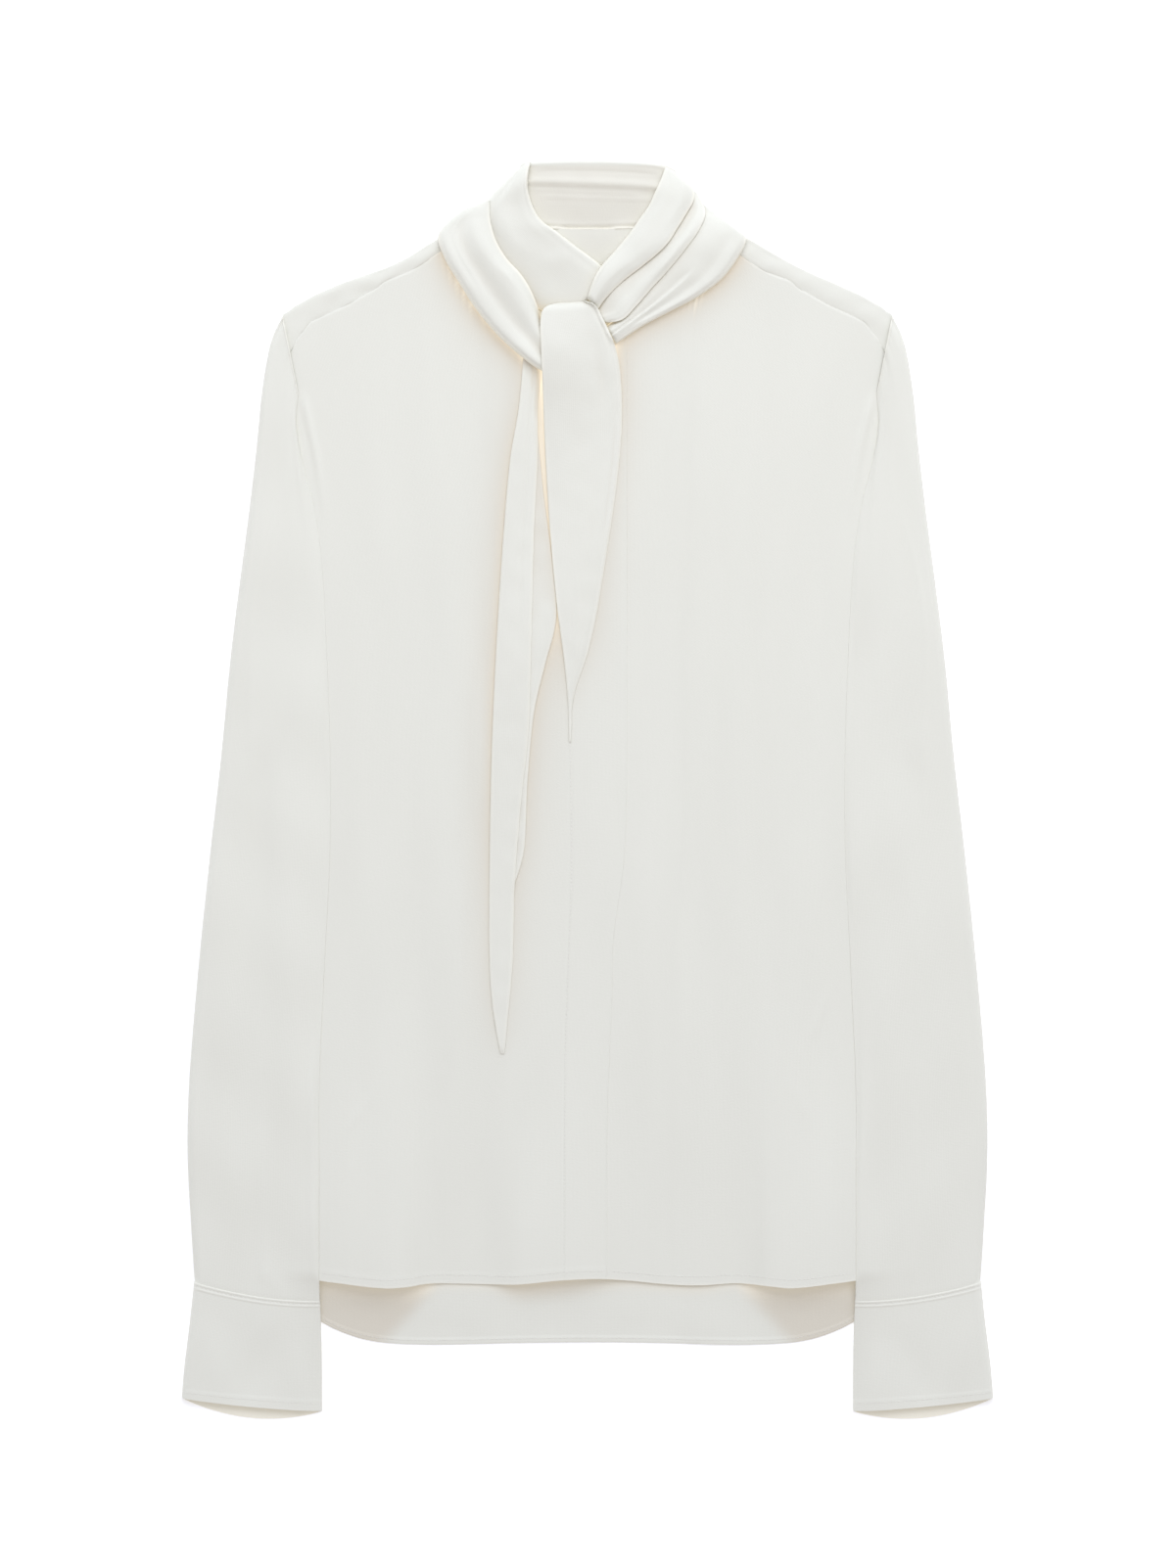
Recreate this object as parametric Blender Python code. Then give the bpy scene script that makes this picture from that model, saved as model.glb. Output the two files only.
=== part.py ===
"""Silk blouse with a knotted tie collar, laid flat and front side up.

The blouse lies on the plane z = 0 with its collar towards +Y. +X is the wearer's left. Each piece that
is cut and sewn on is one closed solid. Panels and sleeves are walls of cloth laid on each other, and
the folded scarf is a row of rounded bundles. Tables are in millimetres; meshes are made in metres.
"""

import math
from collections import namedtuple

import bpy
from mathutils import Vector
from mathutils.bvhtree import BVHTree

MM = 0.001
CLOTH = 1.0  # wall of one layer
GAP = 0.3  # between pieces, at seams and between layers
TOP_OF_PILE = 200.0  # rays that look for the layer below start here
SPLINE_STEPS = 400
OUTLINE_PASSES = 12

# Body. Half widths are measured from the centre front.
NECK_HALF_WIDTH = 72.0
NECK_SHOULDER_Y = 355.0
BACK_NECK_Y = 349.2
FRONT_NECK_Y = 285.0
SHOULDER_HALF_WIDTH = 188.5
SHOULDER_FOLD_RADIUS = 1.35
FRONT_LAYER_RISE = 2 * SHOULDER_FOLD_RADIUS  # from the back's layer to the front's at the shoulder
SHOULDER_SEAM_GAP = 3 * GAP  # so wide that the straight stretches between its points stay apart
SEAM_RISE_REACH = 22.0  # how far below the shoulder seam the front comes down
PLACKET_UNDERLAP_X = -13.0  # hidden edge of the under front
PLACKET_HALF_WIDTH = 45.0  # the fronts lie on each other somewhere within this
PLACKET_REACH = 14.0
PANEL_ROWS = 17
PANEL_ROW_EASE = 1.25  # over 1, rows are closer together towards the shoulders
NECK_COLUMNS, SHOULDER_COLUMNS, FRONT_COLUMNS = 3, 9, 14
SHOULDER_TURN_STEPS, SHOULDER_FLAT_STEPS = 4, 2
SHOULDER_ROWS_FROM = 0.9  # share of the height above which rows bend to the shoulder's line

Edge = namedtuple("Edge", "half_width y")
BODY_SIDE = [  # hem, side seam, underarm, armhole, shoulder point
    Edge(204.0, -300.0), Edge(205.0, -250.0), Edge(206.5, -150.0), Edge(208.0, -50.0),
    Edge(210.0, 40.0), Edge(211.0, 100.0), Edge(203.0, 145.0), Edge(190.5, 188.0),
    Edge(181.5, 224.0), Edge(178.5, 246.7), Edge(181.6, 265.0), Edge(184.5, 274.0),
    Edge(187.5, 285.0), Edge(188.5, 297.0),
]
SHOULDER_FOLD = [  # where the back turns over to the front
    Edge(72.0, 355.0), Edge(100.7, 341.3), Edge(119.3, 330.3), Edge(135.1, 323.0),
    Edge(153.7, 315.7), Edge(170.2, 308.4), Edge(182.7, 301.0), Edge(188.5, 296.4),
]
SHOULDER_SEAM = [  # on the front, below the fold
    Edge(72.0, 345.5), Edge(92.7, 333.4), Edge(123.8, 316.9), Edge(160.4, 297.4),
    Edge(172.0, 289.5), Edge(179.0, 281.0), Edge(183.5, 273.0),
]
BACK_HEM = [
    Edge(0.0, -343.7), Edge(43.0, -344.2), Edge(85.0, -345.2), Edge(112.9, -345.0),
    Edge(131.8, -343.4), Edge(148.0, -339.3), Edge(165.9, -331.0), Edge(186.0, -317.0),
    Edge(204.0, -302.0),
]
Hem = namedtuple("Hem", "x y lift")
FRONT_HEM = [  # ripples of the front hem, and how far each stands off the back
    Hem(-204.0, -300.5, 0.3), Hem(-164.7, -305.3, 3.2), Hem(-128.0, -309.2, 3.4), Hem(-99.4, -307.0, 0.8),
    Hem(-67.0, -307.4, 0.5), Hem(-42.7, -307.3, 2.2), Hem(-17.0, -304.8, 2.8), Hem(6.0, -304.0, 1.6),
    Hem(40.0, -306.8, 0.9), Hem(67.0, -308.2, 1.8), Hem(93.0, -307.0, 0.6), Hem(128.0, -309.2, 3.4),
    Hem(164.7, -305.3, 3.2), Hem(204.0, -300.5, 0.3),
]
HEM_LIFT_REACH = 70.0  # how far up the front the hem's ripples run
Across = namedtuple("Across", "y x")
PLACKET_EDGE = [  # free edge of the upper front
    Across(-305.0, 11.8), Across(-203.0, 12.2), Across(-130.0, 15.0), Across(-93.0, 16.0),
    Across(-44.0, 22.6), Across(5.0, 24.2), Across(285.0, 24.4),
]
Fold = namedtuple("Fold", "top_x top_y low_x low_y height spread")
FRONT_FOLDS = [  # soft upright folds of the fronts
    Fold(-122.0, 280.0, -100.0, 60.0, 1.4, 26.0), Fold(98.0, 290.0, 88.0, -60.0, 1.6, 24.0),
    Fold(-150.0, 20.0, -126.0, -300.0, 1.6, 20.0), Fold(150.0, 20.0, 126.0, -300.0, 1.6, 20.0),
    Fold(-152.0, 240.0, -160.0, 110.0, 1.8, 9.0), Fold(152.0, 240.0, 160.0, 110.0, 1.8, 9.0),
    Fold(-84.0, -40.0, -74.0, -270.0, 1.0, 16.0), Fold(58.0, -60.0, 66.0, -290.0, 1.1, 18.0),
]

# Sleeves and cuffs: flattened tubes. Outer is away from the body. loft parts their two layers.
Sleeve = namedtuple("Sleeve", "outer_x outer_y inner_x inner_y loft")
SLEEVE = [
    Sleeve(189.6, 295.6, 180.0, 247.3, 2.4), Sleeve(197.2, 278.5, 176.5, 228.0, 2.8),
    Sleeve(202.6, 248.0, 173.0, 205.0, 3.0), Sleeve(206.2, 212.0, 170.0, 178.0, 3.2),
    Sleeve(211.0, 171.0, 167.8, 148.0, 3.2), Sleeve(216.4, 130.0, 166.2, 115.0, 3.2),
    Sleeve(222.4, 81.0, 165.6, 72.0, 3.2), Sleeve(228.2, 20.0, 165.6, 16.0, 3.2),
    Sleeve(235.0, -40.0, 166.0, -43.0, 3.2), Sleeve(242.2, -110.0, 166.4, -114.0, 3.2),
    Sleeve(247.8, -178.0, 166.8, -184.0, 3.2), Sleeve(249.0, -226.0, 166.8, -234.0, 3.2),
    Sleeve(246.6, -275.0, 166.8, -285.0, 3.0), Sleeve(244.6, -305.6, 166.8, -317.4, 2.8),
]
SLEEVE_FOLDS = [  # on the upper layer of each sleeve, with x away from the body
    Fold(187.0, 20.0, 184.0, -270.0, 1.2, 12.0), Fold(196.0, 262.0, 218.0, 60.0, 1.0, 8.0),
    Fold(228.0, 10.0, 226.0, -190.0, 0.9, 10.0),
]
SLEEVE_STATIONS = 23
SLEEVE_EASE = 1.25  # over 1, stations are closer together towards the shoulder
ARM_HALF_ROUND = 10  # steps over each layer of a sleeve
ARM_EDGE_SQUARENESS = 8
ARM_REACH_ACROSS = 12.0  # a sleeve rides over what lies within these
ARM_REACH_ALONG = 16.0
CUFF = [
    Sleeve(244.9, -306.4, 166.6, -318.2, 2.8), Sleeve(247.7, -332.0, 165.8, -341.0, 3.0),
    Sleeve(251.0, -359.0, 165.5, -364.0, 3.4), Sleeve(252.6, -378.4, 165.5, -386.6, 3.8),
]
CUFF_STATIONS = 6
CUFF_FRONT_DROP = 1.2  # the cuff's upper edge bows down by this
CUFF_BACK_DROP = 8.5  # and its lower layer shows below it by this
CUFF_BOW_POWER = 0.8

# Collar and scarf: bundles from an inner edge to an outer one, each row a section across.
Section = namedtuple("Section", "inner_x inner_y outer_x outer_y crown")
Crease = namedtuple("Crease", "start end height spread")  # places are shares of the way across
COLLAR_RIGHT = [
    Section(-33.5, 392.3, -40.0, 389.8, 1.5), Section(-36.8, 384.0, -48.0, 381.8, 4.6),
    Section(-37.2, 374.0, -59.5, 371.0, 7.0), Section(-34.0, 363.0, -68.5, 360.5, 8.5),
    Section(-28.5, 354.5, -69.0, 345.0, 9.0), Section(-18.5, 347.0, -59.0, 328.0, 9.0),
    Section(-6.0, 337.5, -47.0, 314.0, 8.5), Section(8.5, 326.7, -34.0, 302.0, 7.5),
    Section(18.0, 316.0, -16.0, 293.0, 5.5),
]
SCARF_RIGHT = [
    Section(-62.0, 367.5, -69.5, 364.5, 3.0), Section(-61.5, 360.5, -84.0, 357.0, 7.0),
    Section(-60.3, 352.0, -92.5, 346.0, 9.5), Section(-56.7, 341.3, -89.0, 331.5, 10.5),
    Section(-50.0, 330.3, -79.3, 315.0, 11.0), Section(-42.0, 321.5, -69.5, 299.8, 10.5),
    Section(-36.0, 312.5, -57.0, 284.5, 9.5), Section(-31.5, 302.0, -43.0, 271.5, 8.5),
    Section(-27.0, 290.0, -28.0, 261.0, 7.5), Section(-14.0, 284.0, -12.0, 259.0, 6.0),
]
SCARF_RIGHT_CREASES = [Crease(0.42, 0.50, -4.2, 0.11)]
SCARF_LEFT = [
    Section(69.0, 369.0, 74.0, 365.5, 3.0), Section(72.5, 362.0, 82.0, 358.0, 5.5),
    Section(73.5, 353.0, 92.0, 350.5, 8.0), Section(69.5, 345.0, 98.3, 343.0, 9.0),
    Section(62.0, 335.0, 94.0, 332.5, 9.0), Section(51.0, 321.5, 83.5, 318.5, 8.5),
    Section(42.0, 311.5, 68.0, 307.0, 8.0), Section(34.0, 302.0, 51.0, 298.0, 7.0),
    Section(25.0, 293.0, 34.0, 289.0, 6.0), Section(10.0, 288.0, 17.0, 277.5, 5.0),
]
SCARF_LEFT_CREASES = [Crease(0.30, 0.42, -2.6, 0.10)]
SCARF_FOLD = [
    Section(62.5, 376.0, 69.5, 371.5, 2.5), Section(61.0, 364.0, 73.2, 359.5, 4.5),
    Section(55.0, 353.0, 71.0, 350.0, 5.5), Section(48.5, 343.0, 62.5, 337.5, 6.0),
    Section(40.0, 334.5, 51.5, 324.0, 6.5), Section(28.5, 327.0, 40.0, 312.0, 6.5),
    Section(17.0, 317.5, 30.0, 301.0, 6.0), Section(9.0, 308.0, 21.0, 292.5, 5.0),
    Section(3.0, 301.0, 8.0, 291.0, 4.0),
]
COLLAR_LEFT = [
    Section(49.0, 388.5, 55.0, 385.0, 2.5), Section(46.0, 381.0, 64.0, 376.5, 5.0),
    Section(42.5, 373.0, 66.0, 368.0, 6.5), Section(38.0, 363.5, 61.5, 359.0, 7.0),
    Section(33.0, 356.5, 55.5, 349.0, 7.0), Section(26.5, 347.0, 48.0, 338.0, 6.5),
    Section(18.0, 336.7, 36.0, 327.5, 6.0), Section(9.5, 327.0, 23.5, 318.0, 5.5),
    Section(3.8, 317.5, 13.0, 308.0, 5.0), Section(0.0, 306.0, 6.0, 299.0, 4.0),
]
TIE_UNDER_FOLD = [
    Section(-42.0, 232.0, -31.5, 230.0, 0.0), Section(-44.0, 190.0, -27.5, 187.0, 0.3),
    Section(-46.0, 150.0, -22.6, 150.0, 0.5), Section(-48.0, 118.0, -19.2, 118.0, 0.5),
    Section(-49.0, 98.0, -20.5, 100.0, 0.5), Section(-50.0, 75.0, -26.5, 78.0, 0.4),
    Section(-50.0, 48.0, -33.5, 47.0, 0.3), Section(-50.0, 5.0, -37.4, 5.0, 0.2),
    Section(-50.0, -36.0, -39.4, -36.0, 0.1), Section(-49.0, -58.0, -45.0, -57.0, 0.0),
]
TIE_UNDER = [
    Section(-39.5, 278.0, -27.0, 276.0, 0.6), Section(-42.5, 240.0, -30.6, 240.0, 1.4),
    Section(-48.0, 207.0, -31.0, 207.0, 1.8), Section(-52.0, 163.0, -33.2, 164.0, 1.8),
    Section(-56.0, 102.0, -34.8, 103.0, 1.8), Section(-59.0, 41.0, -36.6, 41.0, 1.7),
    Section(-60.4, -10.0, -41.6, -9.0, 1.6), Section(-61.1, -60.0, -45.4, -60.0, 1.5),
    Section(-61.0, -105.0, -46.6, -106.0, 1.3), Section(-58.9, -136.0, -49.2, -137.0, 1.0),
    Section(-54.2, -164.0, -51.8, -164.0, 0.4),
]
TIE_FRONT = [
    Section(-19.0, 303.2, -1.0, 304.2, 0.6), Section(-26.8, 300.2, 4.8, 301.8, 1.8),
    Section(-29.2, 292.0, 9.0, 294.5, 2.8), Section(-28.8, 275.0, 17.5, 275.0, 2.8),
    Section(-28.0, 256.0, 20.7, 256.0, 2.6), Section(-26.8, 222.0, 21.3, 226.0, 2.2),
    Section(-24.8, 183.0, 17.8, 188.0, 2.0), Section(-21.6, 142.0, 11.0, 146.0, 1.9),
    Section(-17.8, 106.0, 4.0, 108.0, 1.7), Section(-13.8, 75.0, -2.8, 76.0, 1.3),
    Section(-10.6, 51.0, -9.2, 50.5, 0.4),
]
COLLAR_BACK = [  # inner edge on the neckline, outer edge the rim; the inside of the band shows
    Section(-58.0, 353.3, -41.0, 390.6, 0.0), Section(-38.0, 351.2, -30.0, 392.4, 0.2),
    Section(-14.0, 349.7, -8.0, 392.6, 0.2), Section(12.0, 349.7, 18.0, 392.3, 0.2),
    Section(38.0, 351.2, 42.0, 389.6, 0.2), Section(62.0, 353.9, 55.0, 385.0, 0.0),
]
COLLAR_BACK_CREASES = [Crease(0.66, 0.62, 2.8, 0.08), Crease(0.96, 0.96, 3.2, 0.07)]
DOUBLED_CLOTH = 2.0  # the tie and the collar band are two layers
# Each is thickest at peak, a share of the way across. fall is 0.5 where the crown rounds off to the
# outer edge and 1 where it slopes down to it. reach is how far away it feels the layers below it.
Bundle = namedtuple("Bundle", "name sections layer creases peak fall columns stations reach")
BUNDLES = [
    Bundle("collar_back", COLLAR_BACK, DOUBLED_CLOTH, COLLAR_BACK_CREASES, 0.5, 0.5, 15, 17, 0.0),
    Bundle("tie_under_fold", TIE_UNDER_FOLD, CLOTH, (), 0.5, 0.5, 5, 17, 6.0),
    Bundle("tie_under", TIE_UNDER, DOUBLED_CLOTH, (), 0.5, 0.5, 7, 21, 6.0),
    Bundle("collar_right", COLLAR_RIGHT, CLOTH, (), 0.22, 1.1, 9, 17, 6.0),
    Bundle("scarf_right", SCARF_RIGHT, CLOTH, SCARF_RIGHT_CREASES, 0.5, 0.5, 13, 17, 8.0),
    Bundle("scarf_left", SCARF_LEFT, CLOTH, SCARF_LEFT_CREASES, 0.5, 0.5, 13, 17, 8.0),
    Bundle("scarf_left_fold", SCARF_FOLD, CLOTH, (), 0.6, 0.5, 9, 17, 6.0),
    Bundle("collar_left", COLLAR_LEFT, CLOTH, (), 0.4, 0.8, 9, 17, 6.0),
    Bundle("tie_front", TIE_FRONT, DOUBLED_CLOTH, (), 0.5, 0.5, 9, 21, 6.0),
]
BUNDLE_ROUND_ENDS = 6.0  # a bundle's crown rises over this length from its ends

SILK_COLOUR = (0.90, 0.89, 0.86, 1.0)
SILK_ROUGHNESS = 0.55


def spline(rows, share):
    """Values at a share of the way through the rows, on a smooth curve through each of them."""
    place = min(max(share, 0.0), 1.0) * (len(rows) - 1)
    first = min(int(place), len(rows) - 2)
    t = place - first
    before, start, end, after = (rows[min(max(first + k, 0), len(rows) - 1)] for k in (-1, 0, 1, 2))
    return [
        0.5 * (2 * b + (c - a) * t + (2 * a - 5 * b + 4 * c - d) * t**2 + (3 * b - a - 3 * c + d) * t**3)
        for a, b, c, d in zip(before, start, end, after)
    ]


def value_at(rows, key, value, at):
    """One column of a table as a smooth function of another column, which only grows."""
    if at <= getattr(rows[0], key):
        return getattr(rows[0], value)
    for number, (low, high) in enumerate(zip(rows, rows[1:])):
        low_key, high_key = getattr(low, key), getattr(high, key)
        if at <= high_key:
            share = (number + (at - low_key) / (high_key - low_key)) / (len(rows) - 1)
            column = [(getattr(row, value),) for row in rows]
            return spline(column, share)[0]
    return getattr(rows[-1], value)


def evenly(rows, count, ease=1.0):
    """That many rows along the strip, at even steps, or with ease over 1 closer together at its start."""
    dense = [spline(rows, k / SPLINE_STEPS) for k in range(SPLINE_STEPS + 1)]
    middles = [((r[0] + r[2]) / 2, (r[1] + r[3]) / 2) for r in dense]
    far = [0.0]
    for a, b in zip(middles, middles[1:]):
        far.append(far[-1] + math.dist(a, b))
    picked, at = [], 0
    for k in range(count):
        wanted = far[-1] * (k / (count - 1)) ** ease
        while far[at] < wanted and at < len(far) - 1:
            at += 1
        picked.append(dense[at])
    return picked


def bump(distance, spread):
    """Bell curve: 1 at no distance."""
    return math.exp(-((distance / spread) ** 2))


def folds_at(folds, x, y):
    """Height of the folds at x, y. Each rises from nothing at its top and dies out at its low end."""
    height = 0.0
    for fold in folds:
        share = (fold.top_y - y) / (fold.top_y - fold.low_y)
        if 0 < share < 1:
            middle = fold.top_x + (fold.low_x - fold.top_x) * share
            height += fold.height * math.sin(math.pi * share) * bump(x - middle, fold.spread)
    return height


class Pile:
    """The pieces laid down so far. The next piece rests on them."""

    def __init__(self):
        self.points, self.faces, self.tree = [], [], None

    def add(self, points, faces):
        start = len(self.points)
        self.points += points
        self.faces += [[start + k for k in face] for face in faces]
        self.tree = BVHTree.FromPolygons(self.points, self.faces)

    def floor(self, x, y, reach_x, reach_y):
        """Lowest place for cloth at x, y: a gap above the highest point within reach, or the table."""
        spots = [(x, y)]
        for ring in (0.5, 1.0) if reach_x else ():
            for k in range(8):
                angle = k * math.pi / 4
                spots.append((x + ring * reach_x * math.cos(angle), y + ring * reach_y * math.sin(angle)))
        highest = 0.0
        for spot in spots:
            hit = self.tree.ray_cast(Vector((*spot, TOP_OF_PILE)), Vector((0, 0, -1)))[0]
            if hit is not None:
                highest = max(highest, hit.z + GAP)
        return highest


PILE = Pile()


def relaxed(floors, rounds):
    """Heights of a grid that hangs over its floors like cloth: smooth, and nowhere below them."""
    heights = [row[:] for row in floors]
    rows, columns = len(floors), len(floors[0])
    for _ in range(rounds):
        heights = [
            [
                max(
                    floors[i][j],
                    (
                        heights[max(i - 1, 0)][j]
                        + heights[min(i + 1, rows - 1)][j]
                        + heights[i][max(j - 1, 0)]
                        + heights[i][min(j + 1, columns - 1)]
                    )
                    / 4,
                )
                for j in range(columns)
            ]
            for i in range(rows)
        ]
    return heights


def grid_faces(rows, columns, closed=False):
    """Quads of a grid of points numbered row by row. Closed joins the last column to the first."""
    faces = []
    for i in range(rows - 1):
        for j in range(columns if closed else columns - 1):
            here, beside = i * columns + j, i * columns + (j + 1) % columns
            faces.append([here, beside, beside + columns, here + columns])
    return faces


def normals_of(points, faces):
    """Unit normal at each point of a sheet."""
    normals = [Vector() for _ in points]
    for face in faces:
        a, b, c, d = (points[k] for k in face)
        normal = (c - a).cross(d - b)
        for k in face:
            normals[k] += normal
    return [normal.normalized() for normal in normals]


def close_sheet(name, upper, lower, faces):
    """One closed solid between two copies of a sheet, laid on the pile. The faces wind up for upper."""
    count = len(upper)
    sides = {}
    for face in faces:
        for a, b in zip(face, face[1:] + face[:1]):
            if (b, a) in sides:
                del sides[(b, a)]
            else:
                sides[(a, b)] = True
    solid = [list(face) for face in faces]
    solid += [[count + k for k in reversed(face)] for face in faces]
    solid += [[b, a, count + a, count + b] for a, b in sides]
    points = list(upper) + list(lower)
    PILE.add(points, solid)
    mesh = bpy.data.meshes.new(name)
    mesh.from_pydata([point * MM for point in points], [], solid)
    mesh.materials.append(silk())
    mesh.shade_smooth()
    piece = bpy.data.objects.new(name, mesh)
    bpy.context.scene.collection.objects.link(piece)
    return piece


def cloth_wall(name, points, faces, thickness=CLOTH):
    """A solid wall of that thickness on both sides of a sheet."""
    normals = normals_of(points, faces)
    upper = [p + n * thickness / 2 for p, n in zip(points, normals)]
    lower = [p - n * thickness / 2 for p, n in zip(points, normals)]
    return close_sheet(name, upper, lower, faces)


def silk():
    """The blouse's one material."""
    material = bpy.data.materials.get("silk")
    if material is None:
        material = bpy.data.materials.new("silk")
        material.use_nodes = True
        shader = material.node_tree.nodes["Principled BSDF"]
        shader.inputs["Base Color"].default_value = SILK_COLOUR
        shader.inputs["Roughness"].default_value = SILK_ROUGHNESS
    return material


def side_x(y):
    """Half width of the body at y: side seam, then armhole."""
    return value_at(BODY_SIDE, "y", "half_width", y)


def meets(curve, x_of, y):
    """The y where a column of a panel, x_of(y), meets a curve y = curve(x)."""
    for _ in range(OUTLINE_PASSES):
        y = curve(x_of(y))
    return y


def row_height(row):
    """Share of a panel's height at which its row lies."""
    return 1 - (1 - row / (PANEL_ROWS - 1)) ** PANEL_ROW_EASE


def back_panel():
    """The back, which turns over the shoulder folds and ends at the seams on the front."""
    neck_share = NECK_HALF_WIDTH / SHOULDER_HALF_WIDTH
    shares = [neck_share * k / NECK_COLUMNS for k in range(NECK_COLUMNS)]
    shares += [neck_share + (1 - neck_share) * k / SHOULDER_COLUMNS for k in range(SHOULDER_COLUMNS + 1)]
    shares = [-share for share in reversed(shares[1:])] + shares
    level = CLOTH / 2

    def top_of(share):
        """Where a column's lower layer ends, and the seam point it turns over to."""
        size, side = abs(share), math.copysign(1.0, share)
        if size < neck_share:
            half = size * SHOULDER_HALF_WIDTH
            rise = (NECK_SHOULDER_Y - BACK_NECK_Y) * (half / NECK_HALF_WIDTH) ** 2
            return Vector((side * half, BACK_NECK_Y + rise, level)), None
        fold_x = size * SHOULDER_HALF_WIDTH
        fold = Vector((side * fold_x, value_at(SHOULDER_FOLD, "half_width", "y", fold_x), level))
        out = (size - neck_share) / (1 - neck_share)
        seam_x = NECK_HALF_WIDTH + (SHOULDER_SEAM[-1].half_width - NECK_HALF_WIDTH) * out
        seam = Vector((side * seam_x, value_at(SHOULDER_SEAM, "half_width", "y", seam_x), level))
        return fold + (seam - fold).normalized() * SHOULDER_FOLD_RADIUS, seam

    def hem_at(x):
        return value_at(BACK_HEM, "half_width", "y", abs(x))

    points, columns = [], len(shares)
    tops = [top_of(share) for share in shares]
    for i in range(PANEL_ROWS):
        up = row_height(i)
        straighten = max(0.0, up - SHOULDER_ROWS_FROM) / (1 - SHOULDER_ROWS_FROM)
        for share, (top, _) in zip(shares, tops):
            hem_y = meets(hem_at, lambda y: share * side_x(y), BACK_HEM[0].y)
            y = hem_y + (top.y - hem_y) * up
            x = share * side_x(y)
            points.append(Vector((x + (top.x - x) * straighten, y, level)))
    faces = grid_faces(PANEL_ROWS, columns)

    for side in (-1, 1):
        numbers = [j for j, (_, seam) in enumerate(tops) if seam and seam.x * side > 0]
        previous = [(PANEL_ROWS - 1) * columns + j for j in numbers]
        for step in range(1, SHOULDER_TURN_STEPS + SHOULDER_FLAT_STEPS + 1):
            ring = []
            for j in numbers:
                start, seam = tops[j]
                if step <= SHOULDER_TURN_STEPS:
                    angle = math.pi * step / SHOULDER_TURN_STEPS
                    inward = (seam - start).normalized()
                    place = start - inward * SHOULDER_FOLD_RADIUS * math.sin(angle)
                    rise = SHOULDER_FOLD_RADIUS * (1 - math.cos(angle))
                else:
                    place = start.lerp(seam, (step - SHOULDER_TURN_STEPS) / SHOULDER_FLAT_STEPS)
                    rise = FRONT_LAYER_RISE
                points.append(place + Vector((0, 0, rise)))
                ring.append(len(points) - 1)
            for k in range(len(ring) - 1):
                faces.append([previous[k], previous[k + 1], ring[k + 1], ring[k]])
            previous = ring
    return cloth_wall("back", points, faces)


def front_top_y(x):
    """The front's upper edge: the neckline, then just below the shoulder seam."""
    half = abs(x)
    if half < NECK_HALF_WIDTH:
        neck_corner_y = SHOULDER_SEAM[0].y - GAP
        drop = neck_corner_y - FRONT_NECK_Y
        return neck_corner_y - drop * math.sqrt(1 - (half / NECK_HALF_WIDTH) ** 2)
    seam_y = value_at(SHOULDER_SEAM, "half_width", "y", half)
    slope = seam_y - value_at(SHOULDER_SEAM, "half_width", "y", half + 1.0)
    return seam_y - SHOULDER_SEAM_GAP * math.hypot(1.0, slope)


def front_lift(x, y):
    """How far the front stands off the layer below: upright folds, hem ripples and the shoulder seam."""
    above_hem = y - value_at(FRONT_HEM, "x", "y", x)
    lift = folds_at(FRONT_FOLDS, x, y)
    lift += value_at(FRONT_HEM, "x", "lift", x) * bump(above_hem, HEM_LIFT_REACH)
    if abs(x) > NECK_HALF_WIDTH:
        below_seam = value_at(SHOULDER_SEAM, "half_width", "y", abs(x)) - y
        lift += (FRONT_LAYER_RISE - CLOTH - GAP) * bump(below_seam, SEAM_RISE_REACH)
    return lift


def front_panel(name, side, centre_x):
    """One front, from its edge at the placket to the side seam and armhole."""
    floors, plan = [], []
    for i in range(PANEL_ROWS):
        floors.append([])
        for j in range(FRONT_COLUMNS):
            share = j / (FRONT_COLUMNS - 1)

            def x_of(y):
                return centre_x(y) * (1 - share) + side * side_x(y) * share

            hem_y = meets(lambda x: value_at(FRONT_HEM, "x", "y", x), x_of, FRONT_HEM[0].y)
            top_y = meets(front_top_y, x_of, FRONT_NECK_Y)
            y = hem_y + (top_y - hem_y) * row_height(i)
            plan.append((x_of(y), y))
            floor = CLOTH + GAP
            if abs(x_of(y)) < PLACKET_HALF_WIDTH:
                floor = max(floor, PILE.floor(x_of(y), y, PLACKET_REACH, PLACKET_REACH))
            floors[-1].append(floor)
    heights = sum(relaxed(floors, rounds=2), [])
    points = [
        Vector((x, y, height + CLOTH / 2 + front_lift(x, y))) for (x, y), height in zip(plan, heights)
    ]
    faces = grid_faces(PANEL_ROWS, FRONT_COLUMNS)
    return cloth_wall(name, points, faces if side > 0 else [face[::-1] for face in faces])


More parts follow.
